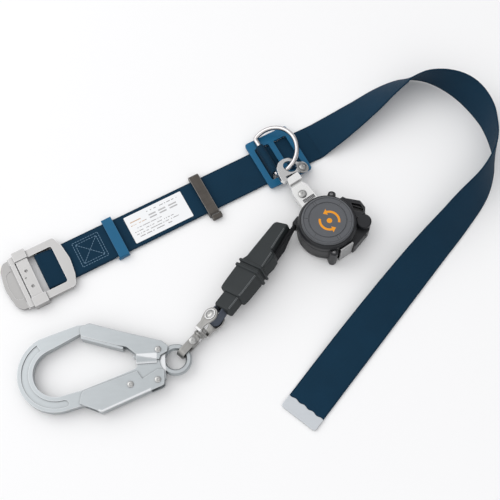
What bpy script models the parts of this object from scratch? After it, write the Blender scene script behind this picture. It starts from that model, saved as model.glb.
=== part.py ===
"""Work belt with a self retracting lifeline hung on its D-ring, laid out on a table.

Metres, +Z up, the table is z = 0. Every piece is drawn in the frame of the
assembly that it belongs to, and the whole is centred over the origin at the end.
"""
import math

import bpy
import bmesh
from mathutils import Matrix, Vector

GAP = 0.0003

# webbing belt, in a frame at the buckle's cross bar with +X along the belt
BELT_HEADING = 28.5
BELT_ORIGIN = (-0.2500, -0.0274, 0.0)
WEB_WIDTH = 0.050
WEB_THICK = 0.0018
WEB_LOW = 0.0026          # middle of the layer that lies on the keepers
WEB_HIGH = 0.0047         # middle of the upper layer near the buckle
WEB_TABLE = 0.0012        # middle of the webbing where it lies on the table
TAIL_END = 0.078
STRAIGHT_END = 0.392
TIP_LENGTH = 0.016
# outer edge of the belt's bend on the table, and how far the belt leans there
BEND_EDGE = ((0.139, 0.2168), (0.173, 0.2385), (0.203, 0.2515), (0.2243, 0.2530),
             (0.2428, 0.2494), (0.2631, 0.2383), (0.2827, 0.2213), (0.3014, 0.1973),
             (0.3146, 0.1723), (0.3232, 0.1340), (0.3205, 0.1040), (0.3079, 0.0700),
             (0.2789, 0.0274), (0.2463, -0.0141), (0.0861, -0.2190))
BEND_LEAN = ((-0.030, 0), (0.0, 8), (0.065, 30), (0.138, 55), (0.178, 74), (0.240, 104),
             (0.306, 90), (0.356, 72), (0.417, 50), (0.466, 40), (0.544, 26), (0.693, 6),
             (0.740, 0), (0.800, 0))

# buckle
BUCKLE_HALF = 0.0365
BUCKLE_RIGHT = 0.0215
BUCKLE_BULGE = 0.0045
BUCKLE_LEFT = -0.0570
RAIL_INNER = 0.0268
BAR_RIGHT = 0.0115
BAR_X, BAR_Z, BAR_RADIUS = -0.0095, 0.0056, 0.0017
FRAME_LOW, FRAME_HIGH = 0.0060, 0.0090
RAIL_LOW = 0.0024
SLIDER = (-0.0370, -0.0210)

# keepers and label
KEEPER = (0.0820, 0.0955)
GREY_KEEPER = (0.2085, 0.2225)
LABEL = (0.1090, 0.1910, 0.020)

# adjuster plate and D-ring
ADJUSTER = (0.2970, 0.3590, 0.0350)
ADJUSTER_LOW, ADJUSTER_HIGH = 0.0039, 0.0071
WINDOWS = ((0.3045, 0.3255), (0.3330, 0.3520))
WINDOW_HALF = 0.0270
RING_BAR_X, RING_BAR_Y, RING_BAR_Z = 0.3125, 0.0080, 0.0104
RING_WIRE = 0.0030
RING_RADIUS = 0.0320
RING_CENTRE = 0.0125
RING_TILT = 22.0

# reel, in a frame at its axis with +X towards the D-ring
REEL_ORIGIN = (0.0966, 0.0226, 0.0)
REEL_HEADING = 124.0
CASE_RADIUS = 0.0370
CASE_WALL = 0.0024
CASE_LOW, CASE_SPLIT, CASE_TOP, COVER_TOP = 0.0039, 0.0220, 0.0405, 0.0448
COVER_RADIUS = 0.0330
BOSS_RADIUS, BOSS_OUT = 0.0048, 0.0396
BOSS_ANGLES = (-44.0, 157.0)
DRUM_FLANGE, DRUM_HUB = 0.0330, 0.0100
DRUM_LOW, DRUM_HIGH = 0.0096, 0.0284
FLANGE_THICK = 0.0020
SHAFT_RADIUS = 0.0030
COIL_RADIUS = 0.0312
PAWL_PIVOT = 0.0190
TOOTH_COUNT = 12
FRAME_CENTRE = -0.0020
FRAME_HALF = 0.0095
PLATE_LOW, PLATE_HIGH = 0.0179, 0.0203
SWIVEL_X = 0.0550

# hanger link round the D-ring's wire
LINK_X, LINK_Y, LINK_Z = 0.0974, -0.0100, 0.0186
LINK_ROLL = 20.0
LINK_THICK = 0.0044
TONGUE_LOW, TONGUE_HIGH = 0.0148, 0.0176

# lifeline, in a frame at the case's mouth with +X along the pull
LIFE_ORIGIN = (0.0599, 0.0278, 0.0)
LIFE_HEADING = 234.6
STRAP_WIDTH, STRAP_THICK, STRAP_MIDDLE = 0.0140, 0.0018, 0.0190
ABSORBER_START, ABSORBER_SIDE, ABSORBER_HEIGHT = 0.0150, -0.0095, 0.0195
ABSORBER_ROLL = 25.0
COVER_WALL = 0.0016

# swivel connector
PIN_X, PIN_Y, PIN_Z = 0.1610, -0.0130, 0.0150
BLOCK_X, BLOCK_Y, BLOCK_Z = 0.1990, -0.0170, 0.0095
CLEVIS_ROLL = -62.0
EAR_INNER, EAR_THICK = 0.0078, 0.0026

# hook, in a frame at its eye with +X towards the far bow
HOOK_ORIGIN = (-0.0892, -0.1469, 0.0)
HOOK_HEADING = 184.0
HOOK_LOW, HOOK_HIGH = 0.0040, 0.0150
SHEET = 0.0020
BOW_CENTRE = (0.1415, 0.0070)
BOW_OUTER, BOW_INNER = 0.0480, 0.0295
EYE_OUTER, EYE_INNER = 0.0195, 0.0118
EYE_LOW, EYE_HIGH = 0.0055, 0.0135
GATE_PIVOT = (0.0207, -0.0127)
LEVER_PIVOT = (0.0219, 0.0243)
LEVER_RIVET = (0.0544, 0.0280)

for old in list(bpy.data.objects):
    bpy.data.objects.remove(old, do_unlink=True)

scene = bpy.context.scene
whole = bpy.data.collections.new("self_retracting_lifeline")
cutters = bpy.data.collections.new("cutters")
for group in (whole, cutters):
    scene.collection.children.link(group)


def place(origin, heading=0.0, roll=0.0, pitch=0.0):
    """A frame at origin, turned about Z, tipped nose up and rolled about its own X."""
    return (Matrix.Translation(Vector(origin))
            @ Matrix.Rotation(math.radians(heading), 4, "Z")
            @ Matrix.Rotation(math.radians(-pitch), 4, "Y")
            @ Matrix.Rotation(math.radians(roll), 4, "X"))


belt = place(BELT_ORIGIN, BELT_HEADING)
reel = place(REEL_ORIGIN, REEL_HEADING)
life = place(LIFE_ORIGIN, LIFE_HEADING)
hook = place(HOOK_ORIGIN, HOOK_HEADING)


def material(name, colour, roughness, metallic):
    made = bpy.data.materials.new(name)
    made.use_nodes = True
    shader = made.node_tree.nodes["Principled BSDF"]
    shader.inputs["Base Color"].default_value = (*colour, 1.0)
    shader.inputs["Roughness"].default_value = roughness
    shader.inputs["Metallic"].default_value = metallic
    return made


def place_mesh(name, mesh, frame, look, group=whole):
    """One object in its frame, with its own material."""
    made = bpy.data.objects.new(name, mesh)
    group.objects.link(made)
    made.matrix_world = frame
    if look is not None:
        mesh.materials.clear()
        mesh.materials.append(material(name, *look))
    return made


def tool(name, mesh, frame):
    """A hidden solid that only cuts or joins."""
    made = place_mesh(name, mesh, frame, None, cutters)
    made.hide_render = True
    made.display_type = "WIRE"
    return made


def from_bmesh(name, build, smooth=False):
    mesh = bpy.data.meshes.new(name)
    shape = bmesh.new()
    build(shape)
    bmesh.ops.recalc_face_normals(shape, faces=shape.faces)
    for face in shape.faces:
        face.smooth = smooth
    shape.to_mesh(mesh)
    shape.free()
    return mesh


def block(name, low, high):
    """A box between two corners."""
    size = [high[i] - low[i] for i in range(3)]
    middle = [(high[i] + low[i]) / 2 for i in range(3)]

    def build(shape):
        bmesh.ops.create_cube(shape, size=1.0,
                              matrix=Matrix.Translation(middle) @ Matrix.Diagonal((*size, 1.0)))
    return from_bmesh(name, build)


def rod(name, radius, low, high, centre=(0.0, 0.0), sides=20, axis="Z"):
    """A round bar along an axis of its frame."""
    turn = {"Z": Matrix(), "X": Matrix.Rotation(math.pi / 2, 4, "Y"),
            "Y": Matrix.Rotation(-math.pi / 2, 4, "X")}[axis]
    middle = (low + high) / 2
    spot = {"Z": (*centre, middle), "X": (middle, *centre), "Y": (centre[0], middle, centre[1])}[axis]

    def build(shape):
        bmesh.ops.create_cone(shape, cap_ends=True, segments=sides, radius1=radius, radius2=radius,
                              depth=high - low, matrix=Matrix.Translation(spot) @ turn)
    return from_bmesh(name, build)


def arc(centre, radius, start, end, steps):
    """Points of an arc, both ends included, angles in degrees."""
    return [(centre[0] + radius * math.cos(math.radians(start + (end - start) * i / steps)),
             centre[1] + radius * math.sin(math.radians(start + (end - start) * i / steps)))
            for i in range(steps + 1)]


def ring(centre, radius, steps):
    """Points of a full circle."""
    return arc(centre, radius, 0, 360 - 360 / steps, steps - 1)


def rounded(half_x, half_y, radius, centre=(0.0, 0.0), steps=3):
    """A rectangle with rounded corners."""
    points = []
    for sx, sy, start in ((1, 1, 0), (-1, 1, 90), (-1, -1, 180), (1, -1, 270)):
        corner = (centre[0] + sx * (half_x - radius), centre[1] + sy * (half_y - radius))
        points += arc(corner, radius, start, start + 90, steps)
    return points


def plate(name, outlines, low, high):
    """A flat shape with holes, as thick as low to high."""
    curve = bpy.data.curves.new(name + "_outline", "CURVE")
    curve.dimensions = "2D"
    curve.fill_mode = "BOTH"
    curve.extrude = (high - low) / 2
    curve.render_resolution_u = 0
    for points in outlines:
        line = curve.splines.new("POLY")
        line.points.add(len(points) - 1)
        for point, spot in zip(line.points, points):
            point.co = (spot[0], spot[1], 0.0, 1.0)
        line.use_cyclic_u = True
    return from_curve(name, curve, Matrix.Translation((0, 0, (low + high) / 2)))


def from_curve(name, curve, shift=Matrix(), smooth=False):
    """Turn a curve into a closed mesh."""
    carrier = bpy.data.objects.new(name + "_curve", curve)
    scene.collection.objects.link(carrier)
    bpy.context.view_layer.update()
    mesh = bpy.data.meshes.new_from_object(carrier)
    bpy.data.objects.remove(carrier, do_unlink=True)
    mesh.name = name
    shape = bmesh.new()
    shape.from_mesh(mesh)
    bmesh.ops.remove_doubles(shape, verts=shape.verts, dist=1e-6)
    bmesh.ops.recalc_face_normals(shape, faces=shape.faces)
    for face in shape.faces:
        face.smooth = smooth
    shape.to_mesh(mesh)
    shape.free()
    mesh.transform(shift)
    return mesh


def wire(name, points, radius, closed=False, detail=2):
    """A round wire through points."""
    curve = bpy.data.curves.new(name + "_path", "CURVE")
    curve.dimensions = "3D"
    curve.bevel_depth = radius
    curve.bevel_resolution = detail
    curve.use_fill_caps = True
    curve.render_resolution_u = 0
    line = curve.splines.new("POLY")
    line.points.add(len(points) - 1)
    for point, spot in zip(line.points, points):
        point.co = (*spot, 1.0)
    line.use_cyclic_u = closed
    return from_curve(name, curve, smooth=True)


def turned(name, profile, frame, look, steps=36, group=whole):
    """A turned shape: the profile (radius, z) runs down its outer side."""
    mesh = bpy.data.meshes.new(name)
    count = len(profile)
    mesh.from_pydata([(radius, 0.0, z) for radius, z in profile],
                     [(i, (i + 1) % count) for i in range(count)], [])
    made = place_mesh(name, mesh, frame, look, group)
    screw = made.modifiers.new("turn", "SCREW")
    screw.steps = steps
    screw.render_steps = steps
    screw.use_merge_vertices = True
    screw.merge_threshold = 0.00001
    return made


def boolean(target, operation, others):
    for other in others:
        step = target.modifiers.new(operation.lower(), "BOOLEAN")
        step.operation = operation
        step.solver = "EXACT"
        step.object = other


def strip(name, stations, width, thick):
    """A ribbon: each station is the place of one edge and the direction to the other."""
    count = len(stations)

    def build(shape):
        bmesh.ops.create_grid(shape, x_segments=count - 1, y_segments=1, size=0.5)
        for vert in shape.verts:
            edge, across = stations[round((vert.co.x + 0.5) * (count - 1))]
            vert.co = edge + across * (width * (0.5 - vert.co.y))
    return from_bmesh(name, build, True)


def thicken(made, thick):
    solid = made.modifiers.new("thickness", "SOLIDIFY")
    solid.thickness = thick
    solid.offset = 0.0
    solid.use_even_offset = True


def soften(made, width, steps=1):
    edge = made.modifiers.new("edges", "BEVEL")
    edge.width = width
    edge.segments = steps
    edge.limit_method = "ANGLE"
    edge.angle_limit = math.radians(40)


def tube(name, sections, wall, frame, look):
    """A hollow sleeve along X through sections (x, half width, half height, corner)."""
    def outline(x, half_y, half_z, corner):
        points = []
        for sy, sz in ((1, 1), (-1, 1), (-1, -1), (1, -1)):
            first = (x, sy * half_y, sz * (half_z - corner))
            second = (x, sy * (half_y - corner), sz * half_z)
            points += [first, second] if sy * sz > 0 else [second, first]
        return points

    def build(shape):
        outer = [[shape.verts.new(p) for p in outline(*s)] for s in sections]
        inner = [[shape.verts.new(p) for p in outline(x, y - wall, z - wall, max(c - wall / 2, 0.0006))]
                 for x, y, z, c in sections]
        for skin in (outer, inner):
            for a, b in zip(skin[:-1], skin[1:]):
                for i in range(8):
                    shape.faces.new((a[i], a[(i + 1) % 8], b[(i + 1) % 8], b[i]))
        for a, b in ((outer[0], inner[0]), (outer[-1], inner[-1])):
            for i in range(8):
                shape.faces.new((a[i], a[(i + 1) % 8], b[(i + 1) % 8], b[i]))
    return place_mesh(name, from_bmesh(name, build), frame, look)


def rivet(name, radius, head, low, high, head_high, frame, look, steps=16, under=None):
    """A rivet along Z with a domed head at each end, the lower one flatter where under says so."""
    under = head_high if under is None else under
    profile = ((0.0, high + head_high), (head * 0.55, high + head_high), (head, high + head_high * 0.45),
               (head, high), (radius, high), (radius, low), (head, low), (head, low - under * 0.45),
               (head * 0.55, low - under), (0.0, low - under))
    return turned_open(name, profile, frame, look, steps)


def turned_open(name, profile, frame, look, steps=24):
    """A turned solid whose profile starts and ends on the axis."""
    mesh = bpy.data.meshes.new(name)
    mesh.from_pydata([(radius, 0.0, z) for radius, z in profile],
                     [(i, i + 1) for i in range(len(profile) - 1)], [])
    made = place_mesh(name, mesh, frame, look)
    screw = made.modifiers.new("turn", "SCREW")
    screw.steps = steps
    screw.render_steps = steps
    screw.use_merge_vertices = True
    screw.merge_threshold = 0.00001
    return made


navy = ((0.010, 0.030, 0.070), 0.85, 0.0)
silver = ((0.62, 0.63, 0.65), 0.32, 1.0)
steel = ((0.70, 0.70, 0.70), 0.22, 1.0)
zinc = ((0.60, 0.64, 0.68), 0.38, 1.0)
dull_steel = ((0.38, 0.38, 0.37), 0.35, 1.0)
blue = ((0.010, 0.130, 0.280), 0.45, 0.0)
rubber = ((0.045, 0.050, 0.055), 0.60, 0.0)
casing = ((0.050, 0.052, 0.058), 0.42, 0.0)
black = ((0.012, 0.012, 0.014), 0.75, 0.0)
white = ((0.80, 0.80, 0.80), 0.50, 0.0)
grey_blue = ((0.090, 0.110, 0.150), 0.70, 0.0)
spring_steel = ((0.45, 0.45, 0.47), 0.30, 1.0)

# ---- belt webbing: loop at the buckle, straight run, hump over the D-ring, free bend
along_belt = Vector((math.cos(math.radians(BELT_HEADING)), math.sin(math.radians(BELT_HEADING)), 0))
flat_across = Vector((along_belt.y, -along_belt.x, 0.0))


def on_belt(x, z):
    """A station on the straight run, at its left edge, narrower where the ring gathers it."""
    gathered = 1.0 - 0.13 * min(1.0, max(0.0, (z - WEB_LOW) / 0.004)) * (x > TIP_LENGTH * 10)
    return (belt @ Vector((x, WEB_WIDTH / 2, z)), flat_across * gathered)


wrap = BAR_RADIUS + WEB_THICK / 2 + 0.0004
hump = RING_WIRE + WEB_THICK / 2 + 0.0004
run = [(TAIL_END, WEB_LOW), (0.040, WEB_LOW), (0.0, WEB_LOW)]
run += [(BAR_X + wrap * math.cos(math.radians(a)), BAR_Z + wrap * math.sin(math.radians(a)))
        for a in range(-90, -300, -30)]
run += [(0.0095, WEB_HIGH), (0.040, WEB_HIGH),
        (TAIL_END + 0.003, WEB_HIGH), (TAIL_END + 0.012, 0.0030), (TAIL_END + 0.020, WEB_LOW),
        (0.150, WEB_LOW), (0.230, WEB_LOW), (0.3046, WEB_LOW), (0.3068, WEB_LOW + 0.0010),
        (0.3078, WEB_LOW + 0.0040)]
run += [(RING_BAR_X - hump * math.cos(math.radians(a)), RING_BAR_Z + hump * math.sin(math.radians(a)))
        for a in (0, 40, 90, 140, 180)]
run += [(0.3174, WEB_LOW + 0.0040), (0.3190, WEB_LOW + 0.0010), (0.3218, WEB_LOW),
        (0.3560, WEB_LOW), (0.3700, WEB_TABLE + 0.0006), (0.3800, WEB_TABLE)]
stations = [on_belt(x, z) for x, z in run]

knots = [stations[-1][0], on_belt(STRAIGHT_END, WEB_TABLE)[0]]
knots += [Vector((x, y, WEB_TABLE)) for x, y in BEND_EDGE]


def spline(points, index, t):
    """A smooth curve through points that are unevenly spaced."""
    before, start = points[max(index - 1, 0)], points[index]
    end, after = points[index + 1], points[min(index + 2, len(points) - 1)]
    span = (end - start).length
    leave = (end - before) / ((end - start).length + (start - before).length) * span
    reach = (after - start) / ((after - end).length + span) * span
    return ((2 * t ** 3 - 3 * t ** 2 + 1) * start + (t ** 3 - 2 * t ** 2 + t) * leave
            + (3 * t ** 2 - 2 * t ** 3) * end + (t ** 3 - t ** 2) * reach)


def lean_at(length):
    """How far the belt leans, in degrees, eased between the given places."""
    for (a, low), (b, high) in zip(BEND_LEAN[:-1], BEND_LEAN[1:]):
        if a <= length <= b:
            t = (length - a) / (b - a)
            return low + (high - low) * t
    return 0.0


edge_line = []
for index in range(1, len(knots) - 1):
    pieces = max(2, round((knots[index + 1] - knots[index]).length / 0.022))
    pieces = 4 if pieces > 6 else pieces
    edge_line += [spline(knots, index, i / pieces) for i in range(pieces)]
edge_line.append(knots[-1])
length = 0.0
for index, point in enumerate(edge_line):
    ahead = edge_line[min(index + 1, len(edge_line) - 1)]
    behind = edge_line[max(index - 1, 0)]
    if index:
        length += (point - behind).length
    course = (ahead - behind).normalized()
    lean = math.radians(lean_at(length))
    inward = Vector((course.y, -course.x, 0.0))
    stations.append((point, inward * math.cos(lean) + Vector((0, 0, 1)) * math.sin(lean)))
webbing = place_mesh("belt_webbing", strip("belt_webbing", stations, WEB_WIDTH, WEB_THICK), Matrix(), navy)
thicken(webbing, WEB_THICK)

end_edge, end_across = stations[-1]
course = (edge_line[-1] - edge_line[-2]).normalized()
tip_middle = end_edge + end_across * WEB_WIDTH / 2
tip = place((tip_middle.x, tip_middle.y, 0.0), math.degrees(math.atan2(course.y, course.x)))
tip_shape = [(GAP, 0.0252)] + [(GAP, -0.0252)] + arc((TIP_LENGTH - 0.0045, -0.0207), 0.0045, -90, 0, 3) \
    + arc((TIP_LENGTH - 0.0045, 0.0207), 0.0045, 0, 90, 3)
place_mesh("belt_tip", plate("belt_tip", [tip_shape], 0.0001, 0.0026), tip, silver)

label_low = WEB_LOW + WEB_THICK / 2 + 0.0002
place_mesh("belt_label", block("belt_label", (LABEL[0], -LABEL[2], label_low),
                               (LABEL[1], LABEL[2], label_low + 0.0004)), belt, white)

# ---- buckle
pivot = Matrix.Translation((BAR_X, 0.0, BAR_Z))
buckle = belt @ pivot
undo = pivot.inverted()
right_edge = [(BUCKLE_RIGHT + BUCKLE_BULGE * (1 - t * t), BUCKLE_HALF * 0.9 * t)
              for t in (-1, -0.6, -0.2, 0.2, 0.6, 1)]
left_edge = [(BUCKLE_LEFT - 0.0050 * (1 - t * t), BUCKLE_HALF * 0.9 * t) for t in (1, 0.5, 0, -0.5, -1)]
outline = [(BUCKLE_RIGHT - 0.003, -BUCKLE_HALF)] + right_edge + [(BUCKLE_RIGHT - 0.003, BUCKLE_HALF)]
outline += [(BUCKLE_LEFT + 0.005, BUCKLE_HALF)] + left_edge + [(BUCKLE_LEFT + 0.005, -BUCKLE_HALF)]
window = [(-0.0385, -RAIL_INNER), (BAR_RIGHT, -RAIL_INNER), (BAR_RIGHT, RAIL_INNER), (-0.0385, RAIL_INNER)]
frame_mesh = plate("buckle_frame", [outline, window], FRAME_LOW, FRAME_HIGH)
frame_mesh.transform(undo)
buckle_frame = place_mesh("buckle_frame", frame_mesh, buckle, silver)
parts = []
for side in (-1, 1):
    low, high = sorted((side * (RAIL_INNER + 0.0004), side * BUCKLE_HALF))
    parts.append(block("rail", (-0.0480, low, RAIL_LOW), (BUCKLE_RIGHT - 0.003, high, FRAME_HIGH - 0.0004)))
parts.append(rod("cross_bar", BAR_RADIUS, -RAIL_INNER - 0.002, RAIL_INNER + 0.002, (BAR_X, BAR_Z), 14, "Y"))
for mesh in parts:
    mesh.transform(undo)
boolean(buckle_frame, "UNION", [tool(mesh.name, mesh, buckle) for mesh in parts])

half = BUCKLE_HALF
section = [(-half - 0.0035, 0.0006), (-half + 0.0050, 0.0006), (-half + 0.0050, RAIL_LOW - GAP),
           (-half - GAP, RAIL_LOW - GAP), (-half - GAP, FRAME_HIGH + GAP), (-RAIL_INNER + GAP * 2, FRAME_HIGH + GAP),
           (-RAIL_INNER + GAP * 2, 0.0064)]
section += [(-y, z) for y, z in reversed(section)]
section = section[:7] + section[7:] + [(half + 0.0035, 0.0110), (half + 0.0020, 0.0122),
                                       (-half - 0.0020, 0.0122), (-half - 0.0035, 0.0110)]
stand_up = Matrix(((0, 0, 1, 0), (1, 0, 0, 0), (0, 1, 0, 0), (0, 0, 0, 1)))
slider_mesh = plate("buckle_slider", [section], SLIDER[0], SLIDER[1])
slider_mesh.transform(stand_up)
slider_mesh.transform(undo)
place_mesh("buckle_slider", slider_mesh, buckle, silver)


def band(name, outer, inner, start, end, frame, look):
    """A closed band round the webbing: outlines in (y, z), from start to end along X."""
    mesh = plate(name, [outer, inner], start, end)
    mesh.transform(stand_up)
    return place_mesh(name, mesh, frame, look)


# ---- keepers
top = WEB_HIGH + WEB_THICK / 2
keeper_outer = [(-0.0292, 0.0003), (0.0292, 0.0003), (0.0292, 0.0068), (0.0280, 0.0078), (-0.0280, 0.0078),
                (-0.0292, 0.0068)]
keeper_inner = [(-0.0256, 0.0014), (-0.0256, top + 0.0004), (0.0256, top + 0.0004), (0.0256, 0.0014)]
band("belt_keeper", keeper_outer, keeper_inner, *KEEPER, belt, blue)
grey_outer = [(-0.0320, 0.0003), (0.0310, 0.0003), (0.0310, 0.0060), (0.0290, 0.0088), (-0.0300, 0.0088),
              (-0.0320, 0.0068)]
grey_inner = [(-0.0260, 0.0014), (-0.0260, 0.0052), (0.0260, 0.0052), (0.0260, 0.0014)]
grey_keeper = band("slide_keeper", grey_outer, grey_inner, *GREY_KEEPER, belt, dull_steel)
foot = tool("keeper_foot", block("keeper_foot", (GREY_KEEPER[0] + 0.003, -0.0385, 0.0003),
                                 (GREY_KEEPER[1] + 0.002, -0.0310, 0.0060)), belt)
boolean(grey_keeper, "UNION", [foot])

# ---- adjuster plate and D-ring
middle = ((ADJUSTER[0] + ADJUSTER[1]) / 2, 0.0)
holes = [rounded((b - a) / 2, WINDOW_HALF, 0.002, ((a + b) / 2, 0.0), 2) for a, b in WINDOWS]
adjuster = plate("belt_adjuster", [rounded((ADJUSTER[1] - ADJUSTER[0]) / 2, ADJUSTER[2], 0.006, middle)]
                 + holes, ADJUSTER_LOW, ADJUSTER_HIGH)
place_mesh("belt_adjuster", adjuster, belt, blue)

ring_frame = belt @ place((RING_BAR_X, RING_BAR_Y, RING_BAR_Z), 0.0, 0.0, RING_TILT)
open_angle = math.degrees(math.acos(-RING_CENTRE / RING_RADIUS)) - 2.5
bow = arc((RING_CENTRE, 0.0), RING_RADIUS, -open_angle, open_angle, 22)
bar_half = RING_RADIUS * math.sin(math.acos(RING_CENTRE / RING_RADIUS)) - 0.0012
bow = [(0.0, -bar_half)] + bow + [(0.0, bar_half)]
d_ring = wire("d_ring", [(x, y, 0.0) for x, y in bow], RING_WIRE, True)
place_mesh("d_ring", d_ring, ring_frame, steel)

# ---- hanger link: a closed plate loop that the ring's wire passes through
link = reel @ place((LINK_X, LINK_Y, LINK_Z), 0.0, LINK_ROLL)
lug = (-0.0090, -0.0160)
link_shape = [(-0.0240, -0.0060), (-0.0180, -0.0100)] + arc(lug, 0.0090, 205, 345, 6)
link_shape += [(0.0040, -0.0135), (0.0095, -0.0085), (0.0125, 0.0000), (0.0110, 0.0080), (0.0060, 0.0150),
               (-0.0040, 0.0200), (-0.0140, 0.0220), (-0.0210, 0.0200), (-0.0240, 0.0150)]
eye_hole = [(-0.0006 + 0.0087 * math.cos(math.radians(a)), -0.0008 + 0.0098 * math.sin(math.radians(a)))
            for a in range(0, 360, 24)]
lug_hole = ring(lug, 0.0029, 12)
hanger_link = place_mesh("hanger_link", plate("hanger_link", [link_shape, eye_hole, lug_hole],
                                              -LINK_THICK / 2, LINK_THICK / 2), link, steel)
tongue_shape = [(0.0760, FRAME_CENTRE - 0.0100), (0.0760, FRAME_CENTRE + 0.0100), (0.0600, FRAME_CENTRE + 0.0090)]
tongue_shape += arc((SWIVEL_X, FRAME_CENTRE), 0.0088, 90, 270, 8) + [(0.0600, FRAME_CENTRE - 0.0090)]
tongue = tool("tongue", plate("tongue", [tongue_shape, ring((SWIVEL_X, FRAME_CENTRE), 0.0031, 12)],
                              TONGUE_LOW, TONGUE_HIGH), reel)
bridge = tool("bridge", block("bridge", (0.0740, FRAME_CENTRE - 0.0100, TONGUE_LOW),
                              (0.0845, FRAME_CENTRE + 0.0085, 0.0212)), reel)
boolean(hanger_link, "UNION", [tongue, bridge])
rivet("link_rivet", 0.0027, 0.0055, -LINK_THICK / 2 - GAP, LINK_THICK / 2 + GAP, 0.0026,
      link @ Matrix.Translation((*lug, 0.0)), steel, under=0.0010)

# ---- reel frame: one bent steel plate from the swivel, under the case and up its far side
front = [(CASE_RADIUS + 0.0040, FRAME_CENTRE + FRAME_HALF), (0.0560, FRAME_CENTRE + 0.0105)]
front += arc((SWIVEL_X, FRAME_CENTRE), 0.0100, 80, -80, 8)
front += [(0.0560, FRAME_CENTRE - 0.0105), (CASE_RADIUS + 0.0040, FRAME_CENTRE - FRAME_HALF)]
front += [(CASE_RADIUS + 0.0014, FRAME_CENTRE - FRAME_HALF), (CASE_RADIUS + 0.0014, FRAME_CENTRE + FRAME_HALF)]
slot = rounded(0.0014, 0.0075, 0.0012, (0.0436, FRAME_CENTRE), 2)
frame_plate = place_mesh("frame_plate", plate("frame_plate", [front, slot, ring((SWIVEL_X, FRAME_CENTRE), 0.0031, 12)],
                                              PLATE_LOW, PLATE_HIGH), reel, steel)
wall_low = (CASE_RADIUS + 0.0014, FRAME_CENTRE - FRAME_HALF, 0.0012)
wall_high = (CASE_RADIUS + 0.0038, FRAME_CENTRE + FRAME_HALF, PLATE_HIGH)
floor = block("floor", (-CASE_RADIUS - 0.0034, FRAME_CENTRE - FRAME_HALF, 0.0012),
              (CASE_RADIUS + 0.0038, FRAME_CENTRE + FRAME_HALF, 0.0034))
far_wall = block("far_wall", (-CASE_RADIUS - 0.0034, FRAME_CENTRE - FRAME_HALF, 0.0012),
                 (-CASE_RADIUS - 0.0010, FRAME_CENTRE + FRAME_HALF, 0.0340))
boolean(frame_plate, "UNION", [tool("near_wall", block("near_wall", wall_low, wall_high), reel),
                               tool("floor", floor, reel), tool("far_wall", far_wall, reel)])
rivet("swivel_rivet", 0.0028, 0.0055, TONGUE_LOW - GAP, PLATE_HIGH + GAP, 0.0024,
      reel @ Matrix.Translation((SWIVEL_X, FRAME_CENTRE, 0.0)), steel)

# ---- reel case
inner = CASE_RADIUS - CASE_WALL
rear_profile = [(CASE_RADIUS, CASE_SPLIT), (CASE_RADIUS, CASE_LOW + 0.0020), (CASE_RADIUS - 0.0025, CASE_LOW),
                (0.0050, CASE_LOW), (0.0050, CASE_LOW + 0.0024), (inner, CASE_LOW + 0.0024), (inner, CASE_SPLIT)]
rear_case = turned("rear_case", rear_profile, reel, casing)
front_profile = [(0.0300, CASE_TOP), (0.0345, CASE_TOP), (CASE_RADIUS, CASE_TOP - 0.0045),
                 (CASE_RADIUS, CASE_SPLIT + GAP), (inner, CASE_SPLIT + GAP), (inner, CASE_TOP - 0.0040),
                 (0.0300, CASE_TOP - 0.0022)]
front_case = turned("front_case", front_profile, reel, casing)
cover_low = CASE_TOP + GAP
cover_profile = [(0.0, COVER_TOP - 0.0006), (0.0225, COVER_TOP - 0.0006), (0.0235, COVER_TOP),
                 (COVER_RADIUS - 0.0022, COVER_TOP), (COVER_RADIUS, COVER_TOP - 0.0022), (COVER_RADIUS, cover_low),
                 (0.0292, cover_low), (0.0292, CASE_TOP - 0.0022), (0.0, CASE_TOP - 0.0022)]
turned_open("front_cover", cover_profile, reel, casing, 40)

mouth = life @ Matrix.Translation((0, 0, STRAP_MIDDLE))
slot_tool = tool("mouth_slot", block("mouth_slot", (-0.0150, -0.0024, -0.0082), (0.0100, 0.0024, 0.0082)), mouth)
boss_tools = {"rear_case": [], "front_case": []}
for number, angle in enumerate(BOSS_ANGLES):
    spot = (BOSS_OUT * math.cos(math.radians(angle)), BOSS_OUT * math.sin(math.radians(angle)))
    side = reel @ Matrix.Translation((*spot, 0.0)) @ Matrix.Rotation(math.radians(angle), 4, "Z")
    for owner, low, high in (("rear_case", CASE_LOW - 0.0030, CASE_SPLIT - 0.0001),
                             ("front_case", CASE_SPLIT + 0.0004, CASE_TOP - 0.0055)):
        shape = [(-0.0045, -BOSS_RADIUS), *arc((0.0, 0.0), BOSS_RADIUS, -90, 90, 6), (-0.0045, BOSS_RADIUS)]
        if owner == "rear_case":
            mesh = plate("boss", [shape, ring((0, 0), 0.0016, 10)], low, high)
        else:
            mesh = plate("boss", [shape, ring((0, 0), 0.0016, 10)], low, high)
        boss_tools[owner].append(tool("boss_" + owner, mesh, side))
    name = "case_screw_" + "ab"[number]
    turned_open(name, [(0.0, CASE_TOP - 0.0026), (0.0020, CASE_TOP - 0.0030), (0.0023, CASE_TOP - 0.0052),
                       (0.0013, CASE_TOP - 0.0052), (0.0013, 0.0080), (0.0, 0.0080)], side, steel, 12)
boolean(rear_case, "UNION", boss_tools["rear_case"])
boolean(front_case, "UNION", boss_tools["front_case"])
boolean(rear_case, "DIFFERENCE", [slot_tool])
boolean(front_case, "DIFFERENCE", [slot_tool])

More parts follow.
